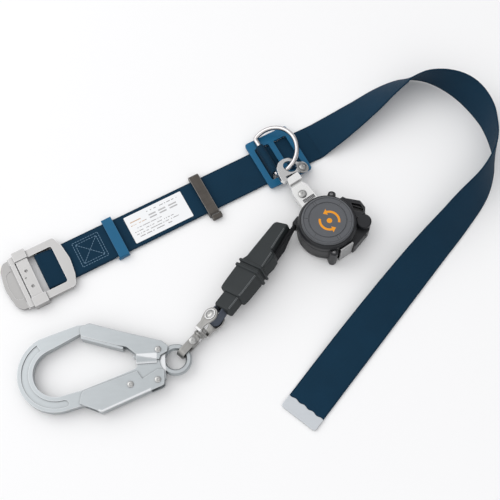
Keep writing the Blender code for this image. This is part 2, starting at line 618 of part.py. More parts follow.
housing_shape = [(0.0190, -0.0345), (0.0185, -0.0400), (0.0060, -0.0520), (0.0000, -0.0545), (-0.0180, -0.0520),
                 (-0.0270, -0.0490), (-0.0370, -0.0400), (-0.0420, -0.0150), (-0.0420, -0.0120), (-0.0300, -0.0120)]
housing = place_mesh("side_housing", plate("side_housing", [housing_shape], CASE_LOW, 0.0330), reel, casing)
recess = plate("recess", [[(0.0150, -0.0420), (0.0010, -0.0510), (-0.0080, -0.0500), (-0.0060, -0.0300),
                           (0.0150, -0.0300)]], 0.0270, 0.0400)
clear_case = rod("clear_case", CASE_RADIUS + 0.0004, 0.0, 0.05, sides=36)
boss_clear = rod("boss_clear", BOSS_RADIUS + 0.0006, 0.0, 0.05,
                 (BOSS_OUT * math.cos(math.radians(BOSS_ANGLES[0])), BOSS_OUT * math.sin(math.radians(BOSS_ANGLES[0]))))
boolean(housing, "DIFFERENCE", [tool("recess", recess, reel), tool("clear_case", clear_case, reel),
                                tool("boss_clear", boss_clear, reel)])

guide = place_mesh("exit_guide", block("exit_guide", (-0.0060, -0.0052, -0.0110), (0.0110, 0.0052, 0.0110)),
                   mouth, black)
boolean(guide, "DIFFERENCE", [tool("guide_slot", block("guide_slot", (-0.0150, -0.0022, -0.0082),
                                                       (0.0150, 0.0022, 0.0082)), mouth),
                              tool("guide_case", rod("guide_case", CASE_RADIUS + 0.0004, 0.0, 0.05, sides=36), reel)])

# ---- inside the reel
turned_open("drum_shaft", [(0.0, 0.0378), (SHAFT_RADIUS, 0.0378), (SHAFT_RADIUS, 0.0048), (0.0046, 0.0048),
                           (0.0046, CASE_LOW + 0.0002), (0.0, CASE_LOW + 0.0002)], reel, steel, 20)
turned("drum_bush", [(0.0048, DRUM_HIGH), (0.0048, DRUM_LOW), (SHAFT_RADIUS + 0.0001, DRUM_LOW),
                     (SHAFT_RADIUS + 0.0001, DRUM_HIGH)], reel, dull_steel, 20)
drum = turned("drum", [(DRUM_FLANGE, DRUM_HIGH), (DRUM_FLANGE, DRUM_HIGH - FLANGE_THICK),
                       (DRUM_HUB, DRUM_HIGH - FLANGE_THICK), (DRUM_HUB, DRUM_LOW + FLANGE_THICK),
                       (DRUM_FLANGE, DRUM_LOW + FLANGE_THICK), (DRUM_FLANGE, DRUM_LOW), (0.0051, DRUM_LOW),
                       (0.0051, DRUM_HIGH)], reel, dull_steel)
turned("webbing_coil", [(COIL_RADIUS, DRUM_HIGH - FLANGE_THICK - GAP), (COIL_RADIUS, DRUM_LOW + FLANGE_THICK + GAP),
                        (DRUM_HUB + GAP, DRUM_LOW + FLANGE_THICK + GAP),
                        (DRUM_HUB + GAP, DRUM_HIGH - FLANGE_THICK - GAP)], reel, black, 32)
pins = []
for number, angle in enumerate((20.0, 200.0)):
    turn = math.radians(angle)
    spot = (PAWL_PIVOT * math.cos(turn), PAWL_PIVOT * math.sin(turn))
    pins.append(tool("pawl_pin", rod("pawl_pin", 0.0016, 0.0069, DRUM_LOW + 0.0005, spot, 10), reel))
    pawl_shape = arc((0.0, 0.0), 0.0036, 150, 330, 5) + [(0.0080, 0.0010), (0.0118, 0.0060), (0.0100, 0.0072),
                                                       (0.0050, 0.0048)]
    pawl = plate("pawl_" + "ab"[number], [pawl_shape, ring((0, 0), 0.0018, 10)], 0.0069, 0.0092)
    place_mesh("pawl_" + "ab"[number], pawl, reel @ Matrix.Translation((*spot, 0.0))
               @ Matrix.Rotation(turn + math.radians(40), 4, "Z"), steel)
boolean(drum, "UNION", pins)
teeth = []
for i in range(TOOTH_COUNT):
    start = 360 / TOOTH_COUNT * i
    teeth += arc((0, 0), 0.0325, start, start + 14, 1) + arc((0, 0), 0.0312, start + 15, start + 28, 1)
place_mesh("lock_ring", plate("lock_ring", [ring((0, 0), inner - 0.0002, 36), teeth], 0.0066, 0.0091),
           reel, dull_steel)
turned("spring_cup", [(0.0330, 0.0364), (0.0330, 0.0290), (0.0050, 0.0290), (0.0050, 0.0302), (0.0316, 0.0302),
                      (0.0316, 0.0364)], reel, black)
coil_steps = 66
coil_stations = []
for i in range(coil_steps + 1):
    turn = i / coil_steps
    angle, radius = turn * math.tau * 4.5, 0.0058 + 0.0238 * turn
    coil_stations.append((Vector((radius * math.cos(angle), radius * math.sin(angle), 0.0308)), Vector((0, 0, 1))))
spring_strip = place_mesh("main_spring", strip("main_spring", coil_stations, 0.0058, 0.0005), reel, spring_steel)
thicken(spring_strip, 0.0005)
turned("spring_arbor", [(0.0050, 0.0370), (0.0050, 0.0306), (SHAFT_RADIUS + 0.0002, 0.0306),
                        (SHAFT_RADIUS + 0.0002, 0.0370)], reel, steel, 16)

# ---- lifeline strap and shock absorber
place_mesh("lifeline_strap", block("lifeline_strap", (-0.0125, -STRAP_THICK / 2, -STRAP_WIDTH / 2 + 0.0002),
                                   (ABSORBER_START - 0.0006, STRAP_THICK / 2, STRAP_WIDTH / 2 - 0.0002)), mouth, black)
pack = life @ place((ABSORBER_START, ABSORBER_SIDE, ABSORBER_HEIGHT), 0.0, ABSORBER_ROLL)
cover_sections = [(0.0, 0.0120, 0.0095, 0.0025), (0.0040, 0.0135, 0.0105, 0.0030), (0.0440, 0.0155, 0.0110, 0.0030),
                  (0.0480, 0.0165, 0.0120, 0.0030), (0.0640, 0.0165, 0.0115, 0.0030), (0.0655, 0.0190, 0.0140, 0.0030),
                  (0.0685, 0.0190, 0.0140, 0.0030), (0.0700, 0.0170, 0.0120, 0.0030), (0.0720, 0.0170, 0.0120, 0.0030),
                  (0.0735, 0.0190, 0.0140, 0.0030), (0.0765, 0.0190, 0.0140, 0.0030), (0.0780, 0.0168, 0.0118, 0.0030),
                  (0.1080, 0.0155, 0.0112, 0.0030), (0.1120, 0.0145, 0.0102, 0.0020)]
tube("absorber_cover", cover_sections, COVER_WALL, pack, rubber)
neck_sections = [(0.1060, 0.0118, 0.0080, 0.0016), (0.1310, 0.0118, 0.0080, 0.0016), (0.1330, 0.0110, 0.0072, 0.0016)]
tube("absorber_neck", neck_sections, COVER_WALL, pack, rubber)

folds = 9
fold_pitch = 0.0060
pack_stations = []
for i in range(folds):
    x = 0.0400 + fold_pitch * i
    for angle, side in ((0, -1), (60, -1), (120, -1), (0, 1), (60, 1), (120, 1)):
        turn = math.radians(angle + 30)
        swing = 0.0009 * math.sin(turn)
        x_at = x + (0 if side < 0 else fold_pitch / 2) + fold_pitch / 4 * (1 - math.cos(turn)) - fold_pitch / 4
        pack_stations.append((Vector((x_at, -0.0105, side * (0.0050 + swing))), Vector((0, 1, 0))))
tear_pack = place_mesh("tear_pack", strip("tear_pack", pack_stations, 0.0210, 0.0010), pack, black)
thicken(tear_pack, 0.0010)

# ---- swivel connector
pin_point, block_point = Vector((PIN_X, PIN_Y, PIN_Z)), Vector((BLOCK_X, BLOCK_Y, BLOCK_Z))
reach = block_point - pin_point
turn_out = math.degrees(math.atan2(reach.y, reach.x))
slope = math.degrees(math.asin(reach.z / reach.length))
clevis = life @ place(pin_point, turn_out, CLEVIS_ROLL, slope)
swivel = life @ place(pin_point, turn_out, 0.0, slope)
span = reach.length
base_start = 0.0215
ear_shape = [(base_start + 0.0030, 0.0055), *arc((0.0, 0.0), 0.0090, 38, 322, 14), (base_start + 0.0030, -0.0055)]
lie_over = Matrix.Rotation(math.pi / 2, 4, "X")
hole = ring((0, 0), 0.0032, 14)
ear_tools = []
for side in (-1, 1):
    low, high = sorted((-side * EAR_INNER, -side * (EAR_INNER + EAR_THICK)))
    mesh = plate("ear", [ear_shape, hole], low, high)
    mesh.transform(lie_over)
    ear_tools.append(mesh)
upper_clevis = place_mesh("upper_clevis", ear_tools[0], clevis, dull_steel)
base_plate = block("base_plate", (base_start, -EAR_INNER - EAR_THICK + 0.0001, -0.0053),
                   (base_start + 0.0030, EAR_INNER + EAR_THICK - 0.0001, 0.0053))
boolean(upper_clevis, "UNION", [tool("second_ear", ear_tools[1], clevis), tool("base_plate", base_plate, clevis)])
boolean(upper_clevis, "DIFFERENCE", [tool("stud_hole", rod("stud_hole", 0.0033, base_start - 0.002,
                                                           base_start + 0.006, sides=16, axis="X"), clevis)])
lay_pin = clevis @ Matrix.Rotation(math.pi / 2, 4, "X")
rivet("upper_pin", 0.0030, 0.0058, -EAR_INNER - EAR_THICK - GAP, EAR_INNER + EAR_THICK + GAP, 0.0020,
      lay_pin, dull_steel)

along = swivel @ Matrix.Rotation(math.pi / 2, 4, "Y")
stud = turned_open("swivel_stud", [(0.0, span - 0.0050), (0.0030, span - 0.0050), (0.0030, base_start - GAP),
                                   (0.0052, base_start - GAP), (0.0052, base_start - 0.0034),
                                   (0.0040, base_start - 0.0044), (0.0, base_start - 0.0044)], along, steel, 16)
lower = life @ place(block_point, turn_out)
knuckle = plate("knuckle", [[(-0.0105, -0.0046), *arc((0.0, 0.0), 0.0050, -67, 67, 6), (-0.0105, 0.0046)],
                            ring((0, 0), 0.0026, 12)], -0.0046, 0.0046)
boolean(stud, "UNION", [tool("knuckle", knuckle, lower)])

bow_centre = 0.0165
gap_half = 0.0050
outer_bow = [(0.0, gap_half + 0.0026)] + [(0.0, -gap_half - 0.0026)]
outer_bow = arc((bow_centre, 0.0), gap_half + 0.0026, -90, 90, 8)
inner_bow = arc((bow_centre, 0.0), gap_half, 90, -90, 8)
bow_section = [(-0.0055, -gap_half - 0.0026)] + outer_bow + [(-0.0055, gap_half + 0.0026), (-0.0055, gap_half)]
bow_section += inner_bow + [(-0.0055, -gap_half)]
shackle_mesh = plate("eye_shackle", [bow_section], -0.0048, 0.0048)
shackle_mesh.transform(lie_over)
shackle = place_mesh("eye_shackle", shackle_mesh, lower, steel)
boolean(shackle, "DIFFERENCE", [tool("shackle_hole", rod("shackle_hole", 0.0026, -0.01, 0.01, sides=12), lower)])
rivet("shackle_rivet", 0.0023, 0.0044, -gap_half - 0.0026 - GAP, gap_half + 0.0026 + GAP, 0.0012, lower, steel, 12)

# ---- webbing loop from the pack round a bush on the connector's pin
bush = clevis @ Matrix.Rotation(math.pi / 2, 4, "X")
turned("pin_bush", [(0.0058, 0.0072), (0.0058, -0.0072), (0.0032, -0.0072), (0.0032, 0.0072)], bush, grey_blue, 20)
loop_stations = []
loop_radius = 0.0060 + GAP + STRAP_THICK / 2
for x, z, angle in [(-0.0115, 0.0045, None)] \
        + [(0, 0, a) for a in (130, 95, 60, 25, -10, -45, -80, -115)] \
        + [(-0.0115, -0.0045, None)]:
    if angle is not None:
        x, z = loop_radius * math.cos(math.radians(angle)), loop_radius * math.sin(math.radians(angle))
    loop_stations.append((Vector((x, -0.0065, z)), Vector((0, 1, 0))))
end_loop = place_mesh("end_loop", strip("end_loop", loop_stations, 0.0130, STRAP_THICK), clevis, black)
thicken(end_loop, STRAP_THICK)

# ---- hook body
outer = arc(BOW_CENTRE, BOW_OUTER, 110, -60, 18)
body_shape = [(0.0120, 0.0240), (0.1180, 0.0500)] + outer + [(0.1160, -0.0480), (0.1040, -0.0490), (0.1040, -0.0430),
                                                             (0.1160, -0.0375)]
body_shape += arc(BOW_CENTRE, BOW_INNER, -62, 96, 16)
body_shape += [(0.0620, 0.0135)] + arc((0.0540, 0.0020), 0.0085, 130, 250, 6)
body_shape += [(0.0400, -0.0190), (0.0240, -0.0215), (0.0140, -0.0180)]
body = place_mesh("hook_body", plate("hook_body", [body_shape], HOOK_LOW, HOOK_HIGH), hook, zinc)
eye = tool("eye", plate("eye", [ring((0, 0), EYE_OUTER, 32)], EYE_LOW, EYE_HIGH), hook)
eye_cut = tool("eye_cut", rod("eye_cut", EYE_INNER, 0.0, 0.03, sides=28), hook)
eye_step = tool("eye_step", rod("eye_step", EYE_OUTER - 0.0040, HOOK_LOW - 0.001, HOOK_HIGH + 0.001, sides=28), hook)
gate_hole = tool("gate_hole", rod("gate_hole", 0.0026, 0.0, 0.03, GATE_PIVOT, 12), hook)
gate_pocket = tool("gate_pocket", rod("gate_pocket", 0.0054, 0.0070, 0.03, GATE_PIVOT, 16), hook)
lever_hole = tool("lever_hole", rod("lever_hole", 0.0026, 0.0, 0.03, LEVER_PIVOT, 12), hook)
lever_pocket = tool("lever_pocket", rod("lever_pocket", 0.0054, 0.0070, 0.03, LEVER_PIVOT, 16), hook)
lever_slot = tool("lever_slot", block("lever_slot", (LEVER_RIVET[0] - 0.0030, LEVER_RIVET[1] - 0.0075, 0.0),
                                      (LEVER_RIVET[0] + 0.0030, LEVER_RIVET[1] + 0.0030, 0.03)), hook)
boolean(body, "DIFFERENCE", [eye_step])
boolean(body, "UNION", [eye])
boolean(body, "DIFFERENCE", [eye_cut, gate_hole, gate_pocket, lever_hole, lever_pocket, lever_slot])

# ---- gate, a channel round the nose and the pivot
at_gate = hook @ Matrix.Translation((*GATE_PIVOT, 0.0))


def about(points, centre):
    return [(x - centre[0], y - centre[1]) for x, y in points]


gate_shape = [(0.1135, -0.0360), (0.1135, -0.0470), (0.1025, -0.0510), (0.0163, -0.0235), (0.0089, -0.0165),
              (0.0095, -0.0090), (0.0200, 0.0000), (0.0460, -0.0070), (0.0510, -0.0120), (0.0580, -0.0180),
              (0.0700, -0.0225)]
plates = [plate("gate", [about(gate_shape, GATE_PIVOT), ring((0, 0), 0.0026, 12)], low, low + SHEET)
          for low in (HOOK_HIGH + GAP, HOOK_LOW - GAP - SHEET)]
gate = place_mesh("gate", plates[0], at_gate, zinc)
spine_shape = [(0.1130, -0.0362), (0.1130, -0.0335), (0.0630, -0.0165), (0.0630, -0.0195)]
spine = plate("gate_spine", [about(spine_shape, GATE_PIVOT)], HOOK_LOW - GAP - SHEET, HOOK_HIGH + GAP + SHEET * 0.5)
boolean(gate, "UNION", [tool("gate_back", plates[1], at_gate), tool("gate_spine", spine, at_gate)])
rivet("gate_rivet", 0.0024, 0.0042, HOOK_LOW - 2 * GAP - SHEET, HOOK_HIGH + 2 * GAP + SHEET, 0.0012, at_gate, steel, 14)

# ---- safety lever, a channel round the outer side of the shank
at_lever = hook @ Matrix.Translation((*LEVER_PIVOT, 0.0))
lever_shape = [(0.0150, 0.0302), (0.0142, 0.0150), (0.0220, 0.0140), (0.0395, 0.0215), (0.0490, 0.0125),
               (0.1130, 0.0330), (0.1143, 0.0468), (0.0889, 0.0586)]
plates = [plate("safety_lever", [about(lever_shape, LEVER_PIVOT), ring((0, 0), 0.0026, 12),
                                 ring((LEVER_RIVET[0] - LEVER_PIVOT[0], LEVER_RIVET[1] - LEVER_PIVOT[1]), 0.0026, 12)],
                low, low + SHEET)
          for low in (HOOK_HIGH + GAP, HOOK_LOW - GAP - SHEET)]
lever = place_mesh("safety_lever", plates[0], at_lever, zinc)
back_shape = [(0.0300, 0.0360), (0.0889, 0.0586), (0.0930, 0.0567), (0.0922, 0.0549), (0.0887, 0.0564),
              (0.0305, 0.0338)]
back = plate("lever_spine", [about(back_shape, LEVER_PIVOT)], HOOK_LOW - GAP - SHEET, HOOK_HIGH + GAP + SHEET * 0.5)
boolean(lever, "UNION", [tool("lever_back", plates[1], at_lever), tool("lever_spine", back, at_lever)])
for name, spot in (("lever_pivot_rivet", LEVER_PIVOT), ("lever_stop_rivet", LEVER_RIVET)):
    rivet(name, 0.0024, 0.0042, HOOK_LOW - 2 * GAP - SHEET, HOOK_HIGH + 2 * GAP + SHEET, 0.0012,
          hook @ Matrix.Translation((*spot, 0.0)), steel, 14)

for name, frame in (("gate_spring", at_gate), ("lever_spring", at_lever)):
    turns = [(0.0041 * math.cos(i * math.tau / 10), 0.0041 * math.sin(i * math.tau / 10), 0.0080 + 0.0052 * i / 30)
             for i in range(31)]
    place_mesh(name, wire(name, turns, 0.0005, False, 1), frame, spring_steel)

# ---- centre the whole over the origin
bpy.context.view_layer.update()
spots = []
for made in whole.objects:
    shown = made.evaluated_get(bpy.context.evaluated_depsgraph_get())
    spots += [made.matrix_world @ vert.co for vert in shown.data.vertices]
shift = Vector(((min(p.x for p in spots) + max(p.x for p in spots)) / 2,
                (min(p.y for p in spots) + max(p.y for p in spots)) / 2, min(p.z for p in spots)))
for made in list(whole.objects) + list(cutters.objects):
    made.matrix_world = Matrix.Translation(-shift) @ made.matrix_world
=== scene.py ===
import math

import bpy
from mathutils import Matrix, Vector


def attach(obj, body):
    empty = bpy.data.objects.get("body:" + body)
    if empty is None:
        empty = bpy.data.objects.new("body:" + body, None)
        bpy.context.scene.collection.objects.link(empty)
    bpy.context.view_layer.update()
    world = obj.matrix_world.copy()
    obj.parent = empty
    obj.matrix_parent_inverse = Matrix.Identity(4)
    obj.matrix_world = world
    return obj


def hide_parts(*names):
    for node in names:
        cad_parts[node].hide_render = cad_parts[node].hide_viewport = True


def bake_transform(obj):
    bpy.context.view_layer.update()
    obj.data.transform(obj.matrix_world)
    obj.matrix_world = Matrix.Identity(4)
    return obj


# A work belt laid out on a table, with its retracting lifeline hung on the D-ring.
# Sizes in the dictionaries are millimetres, in the frame of the assembly they belong to.

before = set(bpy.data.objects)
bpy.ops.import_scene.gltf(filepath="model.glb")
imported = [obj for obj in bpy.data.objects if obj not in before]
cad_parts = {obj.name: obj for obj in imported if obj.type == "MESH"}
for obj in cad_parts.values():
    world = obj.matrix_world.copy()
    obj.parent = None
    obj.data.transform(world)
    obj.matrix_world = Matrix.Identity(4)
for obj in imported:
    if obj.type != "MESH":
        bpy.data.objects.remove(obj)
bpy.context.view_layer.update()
mm = 0.001
tableToPart = Matrix.Translation((-0.004164, -0.011992, 0.000135))


def seat(origin, heading=0.0, roll=0.0, pitch=0.0, within=tableToPart):
    # a frame at origin (mm), turned about Z, nose tipped up, rolled about its own X
    return (within @ Matrix.Translation(Vector(origin) * mm)
            @ Matrix.Rotation(math.radians(heading), 4, "Z")
            @ Matrix.Rotation(math.radians(-pitch), 4, "Y")
            @ Matrix.Rotation(math.radians(roll), 4, "X"))


beltAt = seat((-250.0, -27.4, 0), 28.5)
reelAt = seat((96.6, 22.6, 0), 124.0)
lifeAt = seat((59.9, 27.8, 0), 234.6)
hookAt = seat((-89.2, -146.9, 0), 184.0)
standUp = Matrix(((0, 0, 1, 0), (1, 0, 0, 0), (0, 1, 0, 0),
                  (0, 0, 0, 1)))   # outline in Y and Z, run along X
layOver = Matrix.Rotation(math.pi / 2, 4, "X")


# shader maths
class Line:
    def __init__(self, tree, socket=None):
        self.tree = tree
        self.socket = socket

    def node(self, kind, settings=None, inputs=None, out=0):
        made = self.tree.nodes.new(kind)
        for key, value in (settings or {}).items():
            if key == "stops":
                ramp = made.color_ramp
                while len(ramp.elements) < len(value):
                    ramp.elements.new(0.5)
                for element, (place, colour) in zip(ramp.elements, value):
                    element.position = place
                    element.color = (*colour, 1.0)
            else:
                setattr(made, key, value)
        for key, value in (inputs or {}).items():
            if isinstance(value, Line):
                self.tree.links.new(value.socket, made.inputs[key])
            else:
                made.inputs[key].default_value = value
        return Line(self.tree, made.outputs[out])

    def maths(self, operation, *others):
        return self.node("ShaderNodeMath", {"operation": operation},
                         {i: v for i, v in enumerate((self,) + others)})

    def __add__(self, other):
        return self.maths("ADD", other)

    __radd__ = __add__

    def __sub__(self, other):
        return self.maths("SUBTRACT", other)

    def __rsub__(self, other):
        return self.node("ShaderNodeMath", {"operation": "SUBTRACT"}, {0: other, 1: self})

    def __mul__(self, other):
        return self.maths("MULTIPLY", other)

    __rmul__ = __mul__

    def __truediv__(self, other):
        return self.maths("DIVIDE", other)

    def __gt__(self, other):
        return self.maths("GREATER_THAN", other)

    def __lt__(self, other):
        return self.maths("LESS_THAN", other)


def newFinish(name):
    made = bpy.data.materials.new(name)
    made.use_nodes = True
    shader = made.node_tree.nodes["Principled BSDF"]
    return made, shader, Line(made.node_tree)


def feed(shader, name, value):
    if isinstance(value, Line):
        value.tree.links.new(value.socket, shader.inputs[name])
    else:
        shader.inputs[name].default_value = value


def coordsIn(line, place=None):
    # the object's own coordinates, in metres, or those of a frame set into it
    own = line.node("ShaderNodeTexCoord", out=3)
    if place is None:
        return own
    return line.node("ShaderNodeMapping", {"vector_type": "TEXTURE"},
                     {0: own, 1: place.to_translation(), 2: place.to_euler()})


def parts(line, vector):
    split = line.node("ShaderNodeSeparateXYZ", None, {0: vector})
    outs = split.socket.node.outputs
    return [Line(line.tree, outs[i]) for i in range(3)]


def noise(line, vector, scale, detail=3.0, rough=0.5, out=0):
    return line.node("ShaderNodeTexNoise", None,
                     {"Vector": vector, "Scale": scale, "Detail": detail, "Roughness": rough}, out)


def stretch(line, vector, scale):
    return line.node("ShaderNodeVectorMath", {"operation": "MULTIPLY"}, {0: vector, 1: scale})


def blendColour(line, share, low, high):
    low = low if isinstance(low, Line) else (*low, 1.0)
    high = high if isinstance(high, Line) else (*high, 1.0)
    return line.node("ShaderNodeMix", {"data_type": "RGBA"}, {0: share, 6: low, 7: high}, 2)


def ramp(line, value, stops):
    return line.node("ShaderNodeValToRGB", {"stops": stops}, {0: value})


def bump(line, height, depth, strength=1.0):
    return line.node("ShaderNodeBump", None, {"Height": height, "Distance": depth, "Strength": strength})


def litEdgesAndShadedCorners(line, tone, edgeHighlightShare, darker, reach=1.1, deep=3.0):
    # lighter where the shape turns outwards (painted highlight, also rubbed wear), darker towards black in
    # its corners and crevices (painted shade)
    outward = line.node("ShaderNodeAmbientOcclusion", {"inside": True, "only_local": True, "samples": 6},
                        {"Distance": reach * mm}, 1)
    inward = line.node("ShaderNodeAmbientOcclusion", {"samples": 6}, {"Distance": deep * mm}, 1)
    # painted highlight: convex edges mixed towards near white, also standing for rubbed wear
    edge = (0.92 - outward).maths("MAXIMUM", 0.0) * 1.6
    tone = blendColour(line, edge.maths("MINIMUM", 1.0) * edgeHighlightShare, tone, (0.92, 0.92, 0.93))
    # painted shade: corners and crevices mixed towards near black
    return blendColour(line, (1.0 - inward) * darker, tone, (0.02, 0.02, 0.02))


def metalFinish(name, colour, roughness, place=None, streak=(900, 60, 60), spread=0.12, shade=0.82,
                depth=0.00004,
                blotch=0.0):
    # drawn or pressed metal: streaks along one way, slow patches, fine pitting
    made, shader, line = newFinish(name)
    where = coordsIn(line, place)
    drawn = noise(line, stretch(line, where, streak), 1.0, 4.0)
    patch = noise(line, where, 70.0, 3.0)
    pits = noise(line, where, 1400.0, 2.0)
    darker = tuple(c * shade for c in colour)
    tone = blendColour(line, (drawn * 0.55 + patch * 0.45), darker, colour)
    if blotch:
        mask = noise(line, stretch(line, where, (60, 190, 190)), 1.0,
                     5.0).maths("SMOOTH_MIN", 0.5, 0.1) * 2.0
        tone = blendColour(line, (1.0 - mask) * blotch + 0.0, tone, tuple(c * 0.35 for c in colour))
    # the base colour gets a painted highlight on outward edges and painted shade in corners
    feed(shader, "Base Color", litEdgesAndShadedCorners(line, tone, 0.55, 0.75))
    feed(shader, "Metallic", 1.0)
    feed(shader, "Roughness", drawn * spread + patch * spread + (roughness - spread))
    feed(shader, "Normal", bump(line, drawn * 0.6 + pits * 0.4, depth, 0.5))
    return made


def mouldedFinish(name, colour, roughness, grain=1700.0, depth=0.00005, shade=0.8, edgeHighlightAndRub=0.10):
    # moulded plastic or rubber: fine grain, slow colour drift, a few rubbed patches
    made, shader, line = newFinish(name)
    where = coordsIn(line)
    fine = noise(line, where, grain, 3.0)
    slow = noise(line, where, 38.0, 3.0)
    rubbed = noise(line, where, 160.0, 6.0, 0.7)
    tone = blendColour(line, slow, tuple(c * shade for c in colour), colour)
    tone = blendColour(line, (rubbed - 0.56) * 1.2, tone, tuple(min(1.0, c * 1.5 + 0.004) for c in colour))
    # the base colour gets a painted highlight on outward edges (also rubbed wear) and painted shade in
    # corners
    feed(shader, "Base Color", litEdgesAndShadedCorners(line, tone, edgeHighlightAndRub, 0.55, 0.9))
    feed(shader, "Roughness", fine * 0.12 + rubbed * 0.10 + (roughness - 0.11))
    feed(shader, "Specular IOR Level", 0.32)
    feed(shader, "Normal", bump(line, fine, depth, 0.6))
    return made


def wovenFinish(name, colour, length, width, rib=1.35, pick=1.1, roughness=0.78, edge=2.2, sheen=0.04):
    # webbing seen through its own UV: ribs along it, picks across, selvedges at both edges
    made, shader, line = newFinish(name)
    along, across, _ = parts(line, line.node("ShaderNodeTexCoord", out=2))
    run = along * (length * 1000.0)
    side = across * (width * 1000.0)
    ribs = (side * (math.tau / rib)).maths("SINE")
    weave = (run * (math.tau / pick)
             + (side * (math.pi / rib)).maths("SINE").maths("SIGN") * (math.pi / 2)).maths("SINE")
    cloth = ribs * 0.35 + weave * ribs.maths("ABSOLUTE") * 0.5
    where = coordsIn(line)
    drift = noise(line, where, 26.0, 3.0)
    fuzz = noise(line, where, 1500.0, 2.0)
    inward = (across - 0.5).maths("ABSOLUTE") * (width * 1000.0)
    selvedge = inward.maths("GREATER_THAN", width * 500.0 - edge)
    dark = tuple(c * 0.62 for c in colour)
    light = tuple(min(1.0, c * 1.35) for c in colour)
    tone = blendColour(line, (cloth * 0.32 + 0.5) * 0.6 + drift * 0.4, dark, light)
    tone = blendColour(line, selvedge * 0.35, tone, dark)
    feed(shader, "Base Color", tone)
    feed(shader, "Roughness", fuzz * 0.14 + (roughness - 0.07))
    feed(shader, "Sheen Weight", sheen)
    feed(shader, "Sheen Roughness", 0.4)
    feed(shader, "Specular IOR Level", 0.16)
    feed(shader, "Normal", bump(line, cloth + selvedge * 0.4 + fuzz * 0.2, 0.00022, 0.8))
    return made


finishes = {
    "castSatin": metalFinish("castSatin", (0.47, 0.465, 0.46), 0.42, beltAt, (200, 40, 60), 0.10, 0.84,
                             0.00008),
    "tipMetal": metalFinish("tipMetal", (0.62, 0.65, 0.68), 0.36, None, (120, 420, 100), 0.10, 0.86),
    "zincPlate": metalFinish("zincPlate", (0.47, 0.50, 0.515), 0.36, hookAt, (55, 320, 90), 0.11, 0.82,
                             0.00007),
    "pressedSteel": metalFinish("pressedSteel", (0.80, 0.80, 0.79), 0.26, reelAt, (90, 700, 200), 0.09,
                                0.86),
    # a darker copy of pressedSteel for the bracket's far plate: painted shade
    "shadedEndSteel": metalFinish("shadedEndSteel", (0.46, 0.46, 0.46), 0.36, reelAt, (400, 400, 400), 0.12, 0.7),
    "polishedSteel": metalFinish("polishedSteel", (0.62, 0.60, 0.60), 0.16, None, (300, 300, 300), 0.05,
                                 0.86, 0.00002),
    "rivetSteel": metalFinish("rivetSteel", (0.50, 0.50, 0.49), 0.27, None, (500, 500, 200), 0.09, 0.7),
    "plainSteel": metalFinish("plainSteel", (0.42, 0.415, 0.40), 0.34, lifeAt, (70, 600, 600), 0.12, 0.50,
                              0.00008, 0.6),
    "wornSteel": metalFinish("wornSteel", (0.135, 0.122, 0.110), 0.42, beltAt, (240, 30, 60), 0.14, 0.35,
                             0.0001, 0.8),
    "springSteel": metalFinish("springSteel", (0.50, 0.50, 0.52), 0.27, None),
    "blackSteel": metalFinish("blackSteel", (0.045, 0.045, 0.048), 0.38, None),
    "bluePlastic": mouldedFinish("bluePlastic", (0.0, 0.112, 0.240), 0.46, 1700.0, 0.00005, 0.82, 0.06),
    "caseBlack": mouldedFinish("caseBlack", (0.016, 0.017, 0.020), 0.42, 1500.0, 0.00007, 0.75),
    "caseLid": mouldedFinish("caseLid", (0.105, 0.110, 0.120), 0.38, 1500.0, 0.00005, 0.84),
    "deepBlack": mouldedFinish("deepBlack", (0.004, 0.004, 0.005), 0.60),
    "darkRubber": mouldedFinish("darkRubber", (0.022, 0.027, 0.029), 0.52, 1900.0, 0.00009, 0.78),
    # lighter rubber for lines along the absorber's edges: painted highlight
    "highlightRubber": mouldedFinish("highlightRubber", (0.105, 0.120, 0.125), 0.50),
    "thumbPlate": metalFinish("thumbPlate", (0.39, 0.385, 0.38), 0.45, beltAt, (200, 40, 60), 0.10, 0.80,
                              0.00010),
    "greyBush": mouldedFinish("greyBush", (0.090, 0.110, 0.145), 0.55),
    "orangeInk": mouldedFinish("orangeInk", (0.90, 0.34, 0.01), 0.45, edgeHighlightAndRub=0.0),
    "stitchThread": mouldedFinish("stitchThread", (0.090, 0.230, 0.360), 0.70, 2500.0, 0.00003, 0.85),
}


# modelling
def clearAll():
    if bpy.context.object and bpy.context.object.mode != "OBJECT":
        bpy.ops.object.mode_set(mode="OBJECT")
    bpy.ops.object.select_all(action="DESELECT")


def pick(piece):
    clearAll()
    bpy.context.view_layer.objects.active = piece
    piece.select_set(True)
    return piece


def modify(piece, kind, **settings):
    pick(piece)
    step = piece.modifiers.new(kind.lower(), kind)
    for key, value in settings.items():
        setattr(step, key, value)
    bpy.ops.object.modifier_apply(modifier=step.name)
    return piece


def tidyMesh(piece, outside=True):
    pick(piece)
    bpy.ops.object.mode_set(mode="EDIT")
    bpy.ops.mesh.select_all(action="SELECT")
    bpy.ops.mesh.remove_doubles(threshold=0.000002)
    if outside:
        bpy.ops.mesh.normals_make_consistent(inside=False)
    bpy.ops.object.mode_set(mode="OBJECT")
    return piece


def soften(piece, width, steps=2, angle=35):
    return modify(piece, "BEVEL", width=width * mm, segments=steps, limit_method="ANGLE",
                  angle_limit=math.radians(angle), use_clamp_overlap=True, miter_outer="MITER_ARC")


def carve(piece, *tools):
    for tool in tools:
        modify(piece, "BOOLEAN", operation="DIFFERENCE", solver="EXACT", object=tool)
        bpy.data.objects.remove(tool)
    return piece


def weld(piece, *others):
    for other in others:
        modify(piece, "BOOLEAN", operation="UNION", solver="EXACT", object=other)
        bpy.data.objects.remove(other)
    return piece


def gather(*pieces):
    # one object out of several, overlapping or loose
    clearAll()
    for piece in pieces:
        piece.select_set(True)
    bpy.context.view_layer.objects.active = pieces[0]
    bpy.ops.object.join()
    return pieces[0]


def copyOf(piece, place):
    made = piece.copy()
    made.data = piece.data.copy()
    bpy.context.scene.collection.objects.link(made)
    made.data.transform(place)
    return made


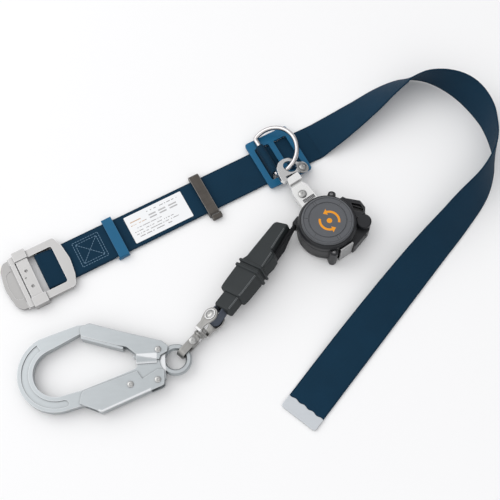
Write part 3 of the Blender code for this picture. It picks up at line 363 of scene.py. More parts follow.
def rounded(points, steps=5):
    # an outline from corners (x, y, radius); a corner with no radius stays sharp
    made = []
    for index, corner in enumerate(points):
        here = Vector(corner[:2])
        radius = corner[2] if len(corner) > 2 else 0.0
        if not radius:
            made.append(here)
            continue
        back = Vector(points[index - 1][:2]) - here
        ahead = Vector(points[(index + 1) % len(points)][:2]) - here
        reach = min(radius / math.tan(max(back.angle(ahead), 0.02) / 2), 0.49 * back.length,
                    0.49 * ahead.length)
        first, last = here + back.normalized() * reach, here + ahead.normalized() * reach
        made += [first.lerp(here, t).lerp(here.lerp(last, t),
                                          t) for t in (i / steps for i in range(steps + 1))]
    return made


def arc(centre, radius, start, end, steps):
    return [Vector((centre[0] + radius * math.cos(math.radians(start + (end - start) * i / steps)),
                    centre[1] + radius * math.sin(math.radians(start + (end - start) * i / steps))))
            for i in range(steps + 1)]


def circle(centre, radius, steps=32):
    return arc(centre, radius, 0, 360 - 360 / steps, steps - 1)


def flatShape(outlines, low, high, edge=0.0, steps=2):
    # outlines in mm, the first outside and the rest holes, as thick as low to high
    curve = bpy.data.curves.new("outline", "CURVE")
    curve.dimensions = "2D"
    curve.fill_mode = "BOTH"
    curve.extrude = (high - low) / 2 * mm
    for outline in outlines:
        spline = curve.splines.new("POLY")
        spline.points.add(len(outline) - 1)
        for point, spot in zip(spline.points, outline):
            point.co = (spot[0] * mm, spot[1] * mm, 0.0, 1.0)
        spline.use_cyclic_u = True
    piece = bpy.data.objects.new("flat", curve)
    bpy.context.scene.collection.objects.link(piece)
    pick(piece)
    bpy.ops.object.convert(target="MESH")
    piece = bpy.context.object
    tidyMesh(piece)
    bpy.ops.object.mode_set(mode="EDIT")
    bpy.ops.mesh.select_all(action="SELECT")
    bpy.ops.mesh.dissolve_limited(angle_limit=math.radians(0.5))
    bpy.ops.object.mode_set(mode="OBJECT")
    piece.data.transform(Matrix.Translation((0, 0, (low + high) / 2 * mm)))
    return soften(piece, edge, steps) if edge else piece


def boxShape(low, high, edge=0.0, steps=2):
    clearAll()
    middle = [(a + b) / 2 * mm for a, b in zip(low, high)]
    bpy.ops.mesh.primitive_cube_add(size=1.0)
    piece = bpy.context.object
    piece.data.transform(Matrix.Translation(middle)
                         @ Matrix.Diagonal([(b - a) * mm for a, b in zip(low, high)] + [1]))
    return soften(piece, edge, steps) if edge else piece


def rodShape(radius, low, high, centre=(0.0, 0.0), sides=40, edge=0.0, narrow=None):
    clearAll()
    bpy.ops.mesh.primitive_cone_add(vertices=sides, radius1=radius * mm, depth=(high - low) * mm,
                                    radius2=(radius if narrow is None else narrow) * mm)
    piece = bpy.context.object
    piece.data.transform(Matrix.Translation((centre[0] * mm, centre[1] * mm, (low + high) / 2 * mm)))
    return soften(piece, edge) if edge else piece


def ballShape(radius, spot, squash=1.0, segments=20):
    clearAll()
    bpy.ops.mesh.primitive_uv_sphere_add(segments=segments, ring_count=segments // 2, radius=radius * mm)
    piece = bpy.context.object
    piece.data.transform(Matrix.Translation(Vector(spot) * mm) @ Matrix.Diagonal((1, 1, squash, 1)))
    return piece


def turnedShape(profile, steps=72, closed=False):
    # a profile of (radius, z) spun about Z
    curve = bpy.data.curves.new("profile", "CURVE")
    curve.dimensions = "3D"
    spline = curve.splines.new("POLY")
    spline.points.add(len(profile) - 1)
    for point, (radius, z) in zip(spline.points, profile):
        point.co = (radius * mm, 0.0, z * mm, 1.0)
    spline.use_cyclic_u = closed
    piece = bpy.data.objects.new("turned", curve)
    bpy.context.scene.collection.objects.link(piece)
    pick(piece)
    bpy.ops.object.convert(target="MESH")
    piece = bpy.context.object
    bpy.ops.object.mode_set(mode="EDIT")
    bpy.ops.mesh.select_all(action="SELECT")
    bpy.ops.mesh.spin(steps=steps, angle=math.tau, center=(0, 0, 0), axis=(0, 0, 1))
    bpy.ops.object.mode_set(mode="OBJECT")
    return tidyMesh(piece)


def wireShape(points, radius, closed=False, detail=4):
    curve = bpy.data.curves.new("wire", "CURVE")
    curve.dimensions = "3D"
    curve.bevel_depth = radius * mm
    curve.bevel_resolution = detail
    curve.use_fill_caps = True
    spline = curve.splines.new("POLY")
    spline.points.add(len(points) - 1)
    for point, spot in zip(spline.points, points):
        point.co = (*(Vector(spot) * mm), 1.0)
    spline.use_cyclic_u = closed
    piece = bpy.data.objects.new("wire", curve)
    bpy.context.scene.collection.objects.link(piece)
    pick(piece)
    bpy.ops.object.convert(target="MESH")
    return tidyMesh(bpy.context.object)


def skinShape(rows, closed=True, capped=True):
    # a grid laid over rows of points (metres): along the rows in U, round them in V
    count, around = len(rows), len(rows[0])
    clearAll()
    bpy.ops.mesh.primitive_grid_add(x_subdivisions=count - 1,
                                    y_subdivisions=around if closed else around - 1, size=1.0)
    piece = bpy.context.object
    last = around if closed else around - 1
    for vert in piece.data.vertices:
        row = rows[round((vert.co.x + 0.5) * (count - 1))]
        vert.co = row[round((vert.co.y + 0.5) * last) % around]
    if closed:
        tidyMesh(piece, outside=False)
        if capped:
            bpy.ops.object.mode_set(mode="EDIT")
            bpy.ops.mesh.select_all(action="SELECT")
            bpy.ops.mesh.fill_holes(sides=0)
            bpy.ops.object.mode_set(mode="OBJECT")
        tidyMesh(piece)
    return piece


def finish(piece, name, body, look, place=None, stands=(), angle=38, even=True):
    # settle a piece in its place, give it its finish and the body it moves with
    if place is not None:
        piece.data.transform(place)
    piece.name = name
    piece.data.name = name
    pick(piece)
    bpy.ops.object.shade_smooth_by_angle(angle=math.radians(angle))
    if even:
        modify(piece, "WEIGHTED_NORMAL", keep_sharp=True, weight=80)
    piece.data.materials.clear()
    piece.data.materials.append(finishes[look] if isinstance(look, str) else look)
    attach(piece, body)
    if stands:
        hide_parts(*stands)
    return piece


def rivetHead(radius, height, low, dent=0.0, up=1):
    # a domed head standing on low, with a small dimple in its middle
    profile = [(radius, 0), (radius, height * 0.35), (radius * 0.86, height * 0.75),
               (radius * 0.55, height)]
    if dent:
        profile += [(dent * 1.25, height), (dent, height - 0.35), (dent * 0.4, height - 0.55),
                    (0.0, height - 0.55)]
    else:
        profile += [(radius * 0.25, height * 1.08), (0.0, height * 1.1)]
    piece = turnedShape([(0.0, 0.0)] + profile, 32)
    if up < 0:
        piece.data.transform(Matrix.Diagonal((1, 1, -1, 1)))
        tidyMesh(piece)
    piece.data.transform(Matrix.Translation((0, 0, low * mm)))
    return piece


def rivetPiece(radius, head, low, high, top, under, dent=0.0):
    return gather(rivetHead(head, top, high, dent), rivetHead(head, under, low, 0.0, -1),
                  rodShape(radius, low - 0.05, high + 0.05, sides=24))


# the view, as from above the front edge of the table
camera = bpy.data.cameras.new("camera")
camera.lens = 64.8
camera.sensor_width = 36.0
camera.clip_start = 0.01
cameraPiece = bpy.data.objects.new("camera", camera)
bpy.context.scene.collection.objects.link(cameraPiece)
cameraPiece.matrix_world = (tableToPart @ Matrix.Translation((0.0, -0.4304, 1.0653))
                            @ Matrix.Rotation(math.radians(22.0), 4, "X"))
bpy.context.scene.camera = cameraPiece
bpy.context.scene.view_settings.view_transform = "Standard"

light = {"key": ((-1.3, 0.5, 1.3), 1.6, 9.0), "front": ((0.9, -1.4, 1.0), 1.4, 3.0), "sky": 1.13,
         "towards": (-0.80, 0.10, 0.59)}
for name in ("key", "front"):
    spot, size, power = light[name]
    lamp = bpy.data.lights.new(name, "AREA")
    lamp.shape = "SQUARE"
    lamp.size = size
    lamp.energy = power
    lampPiece = bpy.data.objects.new(name, lamp)
    bpy.context.scene.collection.objects.link(lampPiece)
    lampPiece.location = spot
    lampPiece.rotation_euler = (-Vector(spot)).to_track_quat("-Z", "Y").to_euler()
world = bpy.data.worlds.new("studio")
bpy.context.scene.world = world
world.use_nodes = True
sky = Line(world.node_tree)
where = sky.node("ShaderNodeTexCoord", out=0)
facing = sky.node("ShaderNodeVectorMath", {"operation": "DOT_PRODUCT"}, {0: where, 1: light["towards"]}, 1)
tone = ramp(sky, facing * 0.5 + 0.5, [(0.0, (0.30, 0.30, 0.31)), (0.45, (0.52, 0.52, 0.53)),
                                      (0.66, (0.80, 0.80, 0.81)),
                                      (0.85, (0.98, 0.98, 0.99)), (1.0, (1.0, 1.0, 1.0))])
low = ramp(sky, parts(sky, where)[2], [(0.0, (0.35, 0.35, 0.36)), (0.16, (0.42, 0.42, 0.43)),
                                       (0.42, (1.0, 1.0, 1.0))])
tone = sky.node("ShaderNodeMix", {"data_type": "RGBA", "blend_type": "MULTIPLY"}, {0: 1.0, 6: tone, 7: low},
                2)
background = world.node_tree.nodes["Background"]
world.node_tree.links.new(tone.socket, background.inputs["Color"])
background.inputs["Strength"].default_value = light["sky"]

clearAll()
bpy.ops.mesh.primitive_plane_add(size=8.0, location=(0, 0, -0.0002))
floor = bpy.context.object
floor.name = "tableTop"
paper, shader, line = newFinish("tableTop")
feed(shader, "Base Color", (0.93, 0.93, 0.93, 1.0))
feed(shader, "Roughness", 0.9)
feed(shader, "Specular IOR Level", 0.1)
floor.data.materials.append(paper)
print("view and light ready")


# belt webbing
webbing = {
    "width": 50.0, "thick": 1.8, "low": 2.6, "high": 4.7, "table": 1.2, "tail": 78.0,
    "bar": (-9.5, 5.6, 1.7), "ring": (312.5, 10.4, 3.0), "gatherIn": 0.13,
    "edge": ((139, 216.8), (173, 238.5), (203, 251.5), (224.3, 253), (242.8, 249.4), (263.1, 238.3),
             (282.7, 221.3),
             (301.4, 197.3), (314.6, 172.3), (323.2, 134), (320.5, 104), (307.9, 70), (278.9, 27.4),
             (246.3, -14.1),
             (86.1, -219)),
    "lean": ((-30, 0), (0, 8), (65, 30), (138, 55), (178, 74), (240, 104), (306, 90), (356, 72), (417, 50),
             (466, 40),
             (544, 26), (693, 6), (740, 0), (800, 0)),
}


def eased(points, passes=2):
    # cut the corners of a run of points, keeping both ends
    for _ in range(passes):
        cut = [points[0]]
        for a, b in zip(points[:-1], points[1:]):
            cut += [a.lerp(b, 0.25), a.lerp(b, 0.75)]
        points = cut + [points[-1]]
    return points


def through(points, index, t):
    # a smooth curve through unevenly spaced points
    before, start = points[max(index - 1, 0)], points[index]
    end, after = points[index + 1], points[min(index + 2, len(points) - 1)]
    span = (end - start).length
    leave = (end - before) / (span + (start - before).length) * span
    reach = (after - start) / ((after - end).length + span) * span
    return ((2 * t ** 3 - 3 * t ** 2 + 1) * start + (t ** 3 - 2 * t ** 2 + t) * leave
            + (3 * t ** 2 - 2 * t ** 3) * end + (t ** 3 - t ** 2) * reach)


def leanAt(length):
    keys = [Vector(k) for k in webbing["lean"]]
    for index in range(len(keys) - 1):
        if keys[index].x <= length <= keys[index + 1].x:
            return through(keys, index, (length - keys[index].x) / (keys[index + 1].x - keys[index].x)).y
    return 0.0


def webbingRows(columns=12):
    low, high, table, tail = (webbing[k] for k in ("low", "high", "table", "tail"))
    barX, barZ, barR = webbing["bar"]
    ringX, ringZ, ringR = webbing["ring"]
    wrap, hump = barR + 1.3, ringR + 1.3
    run = [(tail, low), (40, low), (4, low)]
    run += [(barX + wrap * math.cos(math.radians(a)), barZ + wrap * math.sin(math.radians(a)))
            for a in range(-90, -300, -15)]
    run += [(-2, 7.6), (9.5, high), (16, high), (40, high), (tail + 2, high), (tail + 12, low + 0.5),
            (tail + 20, low),
            (150, low), (230, low), (303.6, low), (306.6, low + 0.6), (307.8, low + 4.0)]
    run += [(ringX - hump * math.cos(math.radians(a)), ringZ + hump * math.sin(math.radians(a)))
            for a in range(0, 181, 20)]
    run += [(317.2, low + 4.0), (318.4, low + 0.6), (322, low), (356, low), (370, table + 0.6),
            (382, table)]
    run = eased([Vector(p) for p in run])
    line = [run[0]]
    for point in run[1:]:
        gap = (point - line[-1]).length
        for i in range(1, max(1, round(gap / 8)) + 1):
            line.append(line[-1].lerp(point, 1 / (max(1, round(gap / 8)) - i + 1)))
    along, flat = Vector((math.cos(math.radians(28.5)), math.sin(math.radians(28.5)), 0)), None
    flat = Vector((along.y, -along.x, 0))
    stations = []
    for x, z in line:
        narrow = 1 - webbing["gatherIn"] * min(1.0, max(0.0, (z - low) / 4)) * (x > 160)
        stations.append((Vector((-250, -27.4, z)) + along * x - flat * 25, flat * narrow))
    knots = [stations[-1][0], Vector((-250, -27.4, table)) + along * 392 - flat * 25]
    knots += [Vector((x, y, table)) for x, y in webbing["edge"]]
    edge = []
    for index in range(1, len(knots) - 1):
        pieces = max(2, round((knots[index + 1] - knots[index]).length / 6))
        edge += [through(knots, index, i / pieces) for i in range(pieces)]
    edge.append(knots[-1])
    length = 0.0
    for index, point in enumerate(edge):
        if index:
            length += (point - edge[index - 1]).length
        course = (edge[min(index + 1, len(edge) - 1)] - edge[max(index - 1, 0)]).normalized()
        lean = math.radians(leanAt(length))
        stations.append((point, Vector((course.y, -course.x,
                                        0)) * math.cos(lean) + Vector((0, 0, 1)) * math.sin(lean)))
    rows, total = [], 0.0
    for index, (start, across) in enumerate(stations):
        if index:
            total += (start + across * 25 - stations[index - 1][0] - stations[index - 1][1] * 25).length
        rows.append([tableToPart @ ((start + across * webbing["width"] * i / columns) * mm)
                     for i in range(columns + 1)])
    return rows, total * mm


beltRows, beltLength = webbingRows()
belt = skinShape(beltRows, closed=False)
modify(belt, "SOLIDIFY", thickness=webbing["thick"] * mm, offset=0.0, use_even_offset=False)
soften(belt, 0.45, 2, 60)
navyWoven = wovenFinish("navyWoven", (0.0034, 0.0290, 0.0600), beltLength, 0.050)
finish(belt, "beltWebbing", "belt", navyWoven, stands=["belt_webbing"], angle=50,
       even=False)
print("webbing", round(beltLength, 3), "m")

stitches = {"long": 3.1, "pitch": 3.4, "thick": 0.40, "boxes": ((36, 71.5, -17.5, 18),
                                                                (39.5, 68, -14, 14.5))}


def sewnRun(start, end, height):
    # thread laid along a line, one stitch modelled and copied
    start, end = Vector(start), Vector(end)
    count = max(1, round((end - start).length / stitches["pitch"]))
    turn = Matrix.Rotation(math.atan2(end.y - start.y, end.x - start.x), 4, "Z")
    made = []
    for i in range(count):
        spot = start.lerp(end, (i + 0.5) / count)
        made.append(copyOf(oneStitch, Matrix.Translation((spot.x * mm, spot.y * mm, height * mm)) @ turn))
    return made


oneStitch = ballShape(stitches["long"] / 2, (0, 0, 0), 1.0, 8)
oneStitch.data.transform(Matrix.Diagonal((1.0, stitches["thick"] * 2 / stitches["long"],
                                          stitches["thick"] * 2 / stitches["long"], 1.0)))
threads = []
for x0, x1, y0, y1 in stitches["boxes"]:
    corners = [(x0, y0), (x1, y0), (x1, y1), (x0, y1)]
    for a, b in zip(corners, corners[1:] + corners[:1]):
        threads += sewnRun(a, b, webbing["high"] + 0.92)
x0, x1, y0, y1 = stitches["boxes"][1]
threads += sewnRun((x0, y0), (x1, y1),
                   webbing["high"] + 0.95) + sewnRun((x0, y1), (x1, y0), webbing["high"] + 0.95)
bpy.data.objects.remove(oneStitch)
stitching = finish(gather(*threads), "beltStitching", "belt", "stitchThread", beltAt)

# end clip
tip = {"length": 16.0, "half": 25.2, "wave": 0.7, "low": 0.1, "high": 2.9}
lastRow, lastButOne = beltRows[-1], beltRows[-2]
tipMiddle = (lastRow[0] + lastRow[-1]) / 2
course = (lastRow[0] - lastButOne[0]).normalized()
tipAt = Matrix.Translation((tipMiddle.x, tipMiddle.y, tableToPart.translation.z)) @ Matrix.Rotation(
    math.atan2(course.y, course.x), 4, "Z")
wavy = [Vector((-1.2 + tip["wave"] * math.sin(y / tip["half"] * math.pi * 4), y))
        for y in [tip["half"] * (i / 24 - 1) for i in range(49)]]
clipShape = rounded([(0, tip["half"]), (tip["length"], tip["half"], 4.5),
                     (tip["length"], -tip["half"], 4.5),
                     (0, -tip["half"])])[1:-1]
clip = flatShape([wavy + clipShape], tip["low"], tip["high"], 0.7, 3)
finish(clip, "beltTip", "belt", "tipMetal", tipAt, ["belt_tip"])

# label: plain film with generic printed rules
label = {"x": (109, 191), "half": 20.0, "low": 3.7, "thick": 0.4}
labelLeft, labelRight = label["x"]
film = flatShape([rounded([(labelLeft, -label["half"], 1.5), (labelRight, -label["half"], 1.5),
                           (labelRight, label["half"], 1.5), (labelLeft, label["half"], 1.5)])],
                 label["low"], label["low"] + label["thick"], 0.12)
printed, shader, line = newFinish("printedFilm")
across, up, _ = parts(line, coordsIn(line, beltAt @ Matrix.Translation((labelLeft * mm, 0, 0))))
across, up = across * 1000.0, up * 1000.0
ink = None
for y, half, start, end, cell in ((14.5, 0.55, 26, 74, 1.7), (4.8, 0.5, 4, 26, 1.3),
                                  (-1.0, 0.5, 6, 46, 1.5),
                                  (-5.6, 0.5, 5, 60, 1.4), (-9.6, 0.5, 6, 66, 1.6),
                                  (-13.6, 0.6, 8, 54, 1.8),
                                  (9.6, 0.7, 5, 20, 1.9)):
    row = (up - y).maths("ABSOLUTE") < half
    inside = (across > start) * (across < end)
    dashes = line.node("ShaderNodeTexWhiteNoise", {"noise_dimensions": "1D"},
                       {"W": (across / cell).maths("FLOOR") + y * 7.0}, 0) > 0.30
    mark = row * inside * dashes
    ink = mark if ink is None else ink.maths("MAXIMUM", mark)
for x, y, halfX, halfY in ((36, 8.6, 5.0, 1.0), (36, 4.6, 5.0, 1.0), (50, 8.6, 5.0, 1.0),
                           (50, 4.6, 5.0, 1.0),
                           (65, 8.6, 5.5, 1.0), (65, 4.6, 5.5, 1.0)):
    block = ((across - x).maths("ABSOLUTE") < halfX) * ((up - y).maths("ABSOLUTE") < halfY)
    ink = ink.maths("MAXIMUM", block * 0.8)
warm = (across < 24.0) * (up > 3.0)
speckle = noise(line, coordsIn(line), 900.0)
tone = blendColour(line, warm, (0.20, 0.19, 0.19), (0.50, 0.28, 0.12))
feed(shader, "Base Color", blendColour(line, ink * (speckle * 0.5 + 0.55), (0.86, 0.87, 0.88), tone))
feed(shader, "Roughness", speckle * 0.2 + 0.32)
feed(shader, "Normal", bump(line, speckle, 0.00003, 0.4))
finish(film, "beltLabel", "belt", printed, beltAt, ["belt_label"])
print("belt dressed")

# buckle: cast frame, sliding lock bar, thumb plate
buckle = {"half": 36.5, "window": (-38.5, 11.5, 26.8), "high": 9.2, "railLow": 2.4,
          "dimples": ((-29.2, 9.8, 2.3), (-33.0, 1.0, 1.6), (-29.4, -12.6, 2.3))}
half = buckle["half"]
left, right, side = buckle["window"]
outer = rounded([(18, -half, 5), (23.6, -22, 22), (26.2, 0, 40), (23.6, 22, 22), (18, half, 5),
                 (-44, half, 3),
                 (-44, -half, 3)], 6)
window = rounded([(left, -side, 1), (left, side, 1), (right, side, 3.5), (right, -side, 3.5)], 5)
ring = flatShape([outer, window], 5.6, buckle["high"])
rails = [boxShape((-45.5, low, buckle["railLow"]), (14, high, 7.0)) for low,
         high in ((side + 0.6, half - 0.02), (-half + 0.02, -side - 0.6))]
weld(ring, *rails)
soften(ring, 1.25, 4, 50)
bar = rodShape(webbing["bar"][2], -side - 1.5, side + 1.5)
bar.data.transform(Matrix.Translation((webbing["bar"][0] * mm, 0, webbing["bar"][1] * mm)) @ layOver)
plate = flatShape([rounded([(-43, -35, 1), (-43, 35, 1), (-52, 34.6, 7), (-58.4, 27, 14), (-62.6, 0, 60),
                            (-58.4, -27, 14), (-52, -34.6, 7)], 7)], 3.0, 6.8, 1.1, 4)
dish = flatShape([rounded([(-45, -22, 5), (-45, 22, 5), (-55.0, 18, 6), (-57.5, 0, 20), (-55.0, -18, 6)],
                          6)],
                 6.35, 8.0)
carve(plate, dish)
finish(gather(ring, bar), "buckleFrame", "buckle", "castSatin", beltAt, ["buckle_frame"])
finish(plate, "buckleThumbPlate", "buckle", "thumbPlate", beltAt)

body = boxShape((-36.8, -27.5, 7.4), (-21.6, 27.5, 11.0))
ears = []
for sign in (1, -1):
    low, high = sorted((sign * 26.6, sign * 39.6))
    ear = boxShape((-37.6, low, 0.6), (-20.4 + (1.6 if sign < 0 else 0), high, 12.2))
    hollow = boxShape((-45, min(sign * 27.2, sign * 37.0), 2.1), (-10, max(sign * 27.2, sign * 37.0), 9.6))
    ears.append(carve(ear, hollow))
weld(body, *ears)
soften(body, 1.1, 4, 50)
carve(body, *[ballShape(r, (x, y, 11.9), 1.0, 32) for x, y, r in buckle["dimples"]])
finish(body, "buckleLockBar", "lock_bar", "castSatin", beltAt, ["buckle_slider"])

# loops that hold the belt's free end
keeper = {"x": (82.0, 95.5), "half": 29.2, "high": 7.8}
low, high = keeper["x"]
loop = flatShape([rounded([(-29.2, 0.3, 1), (29.2, 0.3, 1), (29.2, 7.8, 1.6), (-29.2, 7.8, 1.6)], 4),
                  rounded([(-25.8, 1.4, 0.6), (25.8, 1.4, 0.6), (25.8, 6.2, 0.8), (-25.8, 6.2, 0.8)], 3)],
                  low, high)
loop.data.transform(standUp)
soften(loop, 0.55, 3, 40)
lip = boxShape((low - 1.2, -29.6, 0.3), (low + 5.0, -27.0, 3.4), 0.4)
finish(gather(loop, lip), "frontKeeper", "front_keeper", "bluePlastic", beltAt, ["belt_keeper"])

slider = flatShape([rounded([(-32, 0.3, 1), (31, 0.3, 1), (31, 6.4, 1.5), (28, 9.4, 2), (-29.5, 9.4, 2),
                             (-32, 7.2, 1.5)], 4),
                    rounded([(-26.4, 1.4, 0.6), (26.4, 1.4, 0.6), (26.4, 5.5, 1), (-26.4, 5.5, 1)], 3)],
                    208.5, 222.5)
slider.data.transform(standUp)
soften(slider, 1.5, 4, 40)
foot = boxShape((210.5, -38.2, 0.5), (224.3, -30.0, 6.6), 1.3, 4)
finish(gather(slider, foot), "rearKeeper", "rear_keeper", "wornSteel", beltAt, ["slide_keeper"])

# adjuster and D-ring
adjuster = {"x": (296.6, 359), "y": (-34.8, 38.4), "low": 3.9, "high": 7.2,
            "windows": ((304.5, 325.5), (333.0, 351.6)),
            "window": (-24.8, 25.4)}
a, b = adjuster["x"]
near, far = adjuster["y"]
first, last = adjuster["window"]
holes = [rounded([(x0, first, 2.5), (x1, first, 2.5), (x1, last, 2.5), (x0, last, 2.5)], 4)
         for x0, x1 in adjuster["windows"]]
plate = flatShape([rounded([(a, near, 4.5), (b, near, 4.5), (b, far, 4.5), (a, far, 4.5)], 6)] + holes,
                  adjuster["low"],
                  adjuster["high"], 0.9, 4)
finish(plate, "beltAdjuster", "belt", "bluePlastic", beltAt, ["belt_adjuster"])

dRing = {"bar": (312.5, 8.0, 10.4), "wire": 3.0, "radius": 32.0, "centre": 12.5, "tilt": 22.0}
ringAt = seat(dRing["bar"], 0, 0, dRing["tilt"], beltAt)
opening = math.degrees(math.acos(-dRing["centre"] / dRing["radius"]))
bow = arc((dRing["centre"], 0), dRing["radius"], -opening + 3, opening - 3, 72)
barHalf = dRing["radius"] * math.sin(math.radians(opening)) - 1.4
path = rounded([(0, -barHalf, 1.5), (0, 0), (0, barHalf, 1.5)] + [(p.x, p.y) for p in reversed(bow)], 4)
finish(wireShape([(p[0], p[1], 0) for p in path], dRing["wire"], True, 5), "dRing", "ring", "polishedSteel",
       ringAt, ["d_ring"], angle=60)
print("belt metalwork done")

# hanger: plate loop on the ring, bent strap under the frame's tongue
hanger = {"at": (97.4, -10.0, 18.6), "roll": 20.0, "thick": 4.4, "lug": (-9.0, -16.0)}
hangerAt = seat(hanger["at"], 0, hanger["roll"], 0, reelAt)
lug = hanger["lug"]
loopOutline = rounded([(-11.6, -8, 1), (-12.6, -18, 3), (-13.6, -24.2, 6), (-8, -25.8, 8), (-1, -24, 7),
                       (0.6, -15.5, 5), (6, -12.6, 6), (12.0, -8, 7), (13.0, 2, 8), (10.6, 11, 8),
                       (4, 18.4, 8),
                       (-5, 22, 8), (-15, 23.6, 4), (-19.6, 20.6, 3), (-17.4, 15.6, 2), (-11.6, 14.6, 1)],
                       6)
eyeHole = [Vector((-0.6 + 8.6 * math.cos(math.radians(t)), -0.8 + 9.7 * math.sin(math.radians(t))))
           for t in range(0, 360, 8)]
cPlate = flatShape([loopOutline, eyeHole], -hanger["thick"] / 2, hanger["thick"] / 2, 0.9, 4)
cPlate.data.transform(hangerAt)
strap = flatShape([rounded([(73.4, 14.2, 0.8), (85.6, 14.2, 2.4), (85.6, 21.6, 2.6), (73.4, 21.6, 1.6)],
                           5)], -4.5, 15.0)
strap.data.transform(layOver)
soften(strap, 0.7, 3, 50)
tongue = flatShape([rounded([(76, -14, 0.5), (76, 4, 0.5), (62, 5.2, 3), (51, 6, 9), (46.2, -2, 9),
                             (51, -10, 9),
                             (62, -12.2, 3)], 6)], 14.8, 17.6, 0.4)
strap = gather(strap, tongue)
strap.data.transform(reelAt)
finish(gather(cPlate, strap), "hangerLink", "hanger", "pressedSteel", None, ["hanger_link"])
boss = gather(rodShape(8.4, 2.0, 3.3, edge=0.4), rivetPiece(2.7, 5.6, -2.5, 3.2, 2.6, 1.0, 1.1))
finish(boss, "hangerRivet", "hanger", "rivetSteel",
       hangerAt @ Matrix.Translation((lug[0] * mm, lug[1] * mm, 0)),
       ["link_rivet"])
finish(rivetPiece(2.8, 5.4, 14.6, 20.5, 2.2, 1.8, 1.0), "swivelRivet", "hanger", "rivetSteel",
       seat((55, -2, 0), 0, 0, 0, reelAt), ["swivel_rivet"])

# reel's steel frame
bracket = {"half": 9.5, "middle": -2.0, "low": 17.9, "high": 20.3, "face": (-15.6, 8.3)}
m, h = bracket["middle"], bracket["half"]
right, left = bracket["face"]
face = flatShape([rounded([(38.4, right + 1), (44, right, 3), (62, right + 0.4, 3), (69.5, right + 2.5, 5),
                           (69.5, left - 2.5, 5), (62, left, 3), (44, left, 3), (38.4, left)], 6),
                  rounded([(42.6, right + 1.6, 0.8), (47.8, right + 1.6, 0.8), (47.8, 3.2, 0.8),
                           (42.6, 3.2, 0.8)], 3)],
                 bracket["low"], bracket["high"], 0.35)
flange = boxShape((39.0, m + h - 1.6, 8.0), (57.0, m + h + 0.4, 18.4), 0.5, 3)
near = boxShape((38.4, m - h, 1.2), (40.8, m + h, 20.0), 0.4)
under = boxShape((-40.4, m - h, 1.2), (40.8, m + h, 3.4), 0.4)
far = boxShape((-40.4, m - h, 1.2), (-38.0, m + h, 34.4), 0.5, 3)
finish(gather(face, flange, near, under), "reelBracket", "reel", "pressedSteel", reelAt, ["frame_plate"])
# the far upright plate gets a darker copy of the bracket's pressed steel: painted shade
finish(far, "bracketEnd", "reel", "shadedEndSteel", reelAt)
ribs = [boxShape((42.3, -14.2, 17.6), (48.0, 3.4, 18.4), 0.2)]
ribs += [boxShape((42.8, -13.6 + 2.1 * i, 18.2), (47.6, -12.6 + 2.1 * i, 19.5), 0.2) for i in range(8)]
finish(gather(*ribs), "bracketRibs", "reel", "blackSteel", reelAt)

# reel's case
case = {"radius": 37.0, "grooves": (-1.5, 5.5, 52, 108, 171.5, 178.5, 232, 290),
        "bosses": ((-44.0, 35.2), (157.0, 33.0))}
r = case["radius"]
shell = turnedShape([(30, 40.5), (33.9, 40.5), (35.2, 40.0), (36.6, 37.4), (37.0, 36.0), (37.0, 30.6),
                     (36.3, 30.2),
                     (36.3, 28.8), (37.0, 28.4), (37.0, 22.3), (34.6, 22.3), (34.6, 36.5), (30, 38.3)], 96,
                     True)
finish(shell, "reelUpperCase", "reel", "caseBlack", reelAt, ["front_case"], angle=30)
lower = turnedShape([(37.0, 22.0), (37.0, 12.5), (36.2, 12.1), (36.2, 10.8), (36.8, 10.4), (36.6, 6.2),
                     (34.4, 3.9),
                     (5.0, 3.9), (5.0, 6.3), (34.6, 6.3), (34.6, 22.0)], 96, True)
finish(lower, "reelLowerCase", "reel", "caseBlack", reelAt, ["rear_case"], angle=30)
lid = turnedShape([(0, 44.3), (22.6, 44.3), (23.1, 43.5), (24.0, 43.5), (24.5, 44.3), (29.6, 44.3),
                   (30.1, 43.9),
                   (30.5, 44.6), (31.2, 44.8), (31.8, 44.4), (32.4, 42.6), (33.0, 42.2), (33.0, 40.8),
                   (29.2, 40.8),
                   (29.2, 38.3), (0, 38.3)], 96)
grooves = []
for angle in case["grooves"]:
    cutter = boxShape((24.2, -0.4, 43.6), (29.9, 0.4, 46.0))
    cutter.data.transform(Matrix.Rotation(math.radians(angle), 4, "Z"))
    grooves.append(cutter)
carve(lid, *grooves)
finish(lid, "reelLid", "reel", "caseLid", reelAt, ["front_cover"], angle=30)


def emblem():
    # a plain sign for a line that winds back in: two bent arrows round a dot
    made = []
    for turn in (0, 180):
        outer, inner = arc((0, 0), 13.5, 25, 140, 24), arc((0, 0), 10.6, 140, 25, 24)
        head = [Vector((13.5 * math.cos(math.radians(146)) * 1.16,
                        13.5 * math.sin(math.radians(140)) * 1.16)),
                Vector((12.0 * math.cos(math.radians(166)), 12.0 * math.sin(math.radians(166)))),
                Vector((8.2 * math.cos(math.radians(140)), 8.2 * math.sin(math.radians(140))))]
        arrow = flatShape([outer + head + inner], 44.15, 44.32)
        arrow.data.transform(Matrix.Rotation(math.radians(turn + 20), 4, "Z"))
        made.append(arrow)
    made.append(rodShape(3.4, 44.15, 44.32))
    return gather(*made)


finish(emblem(), "lidEmblem", "reel", "orangeInk", reelAt @ Matrix.Translation((-0.002, -0.001, 0)))

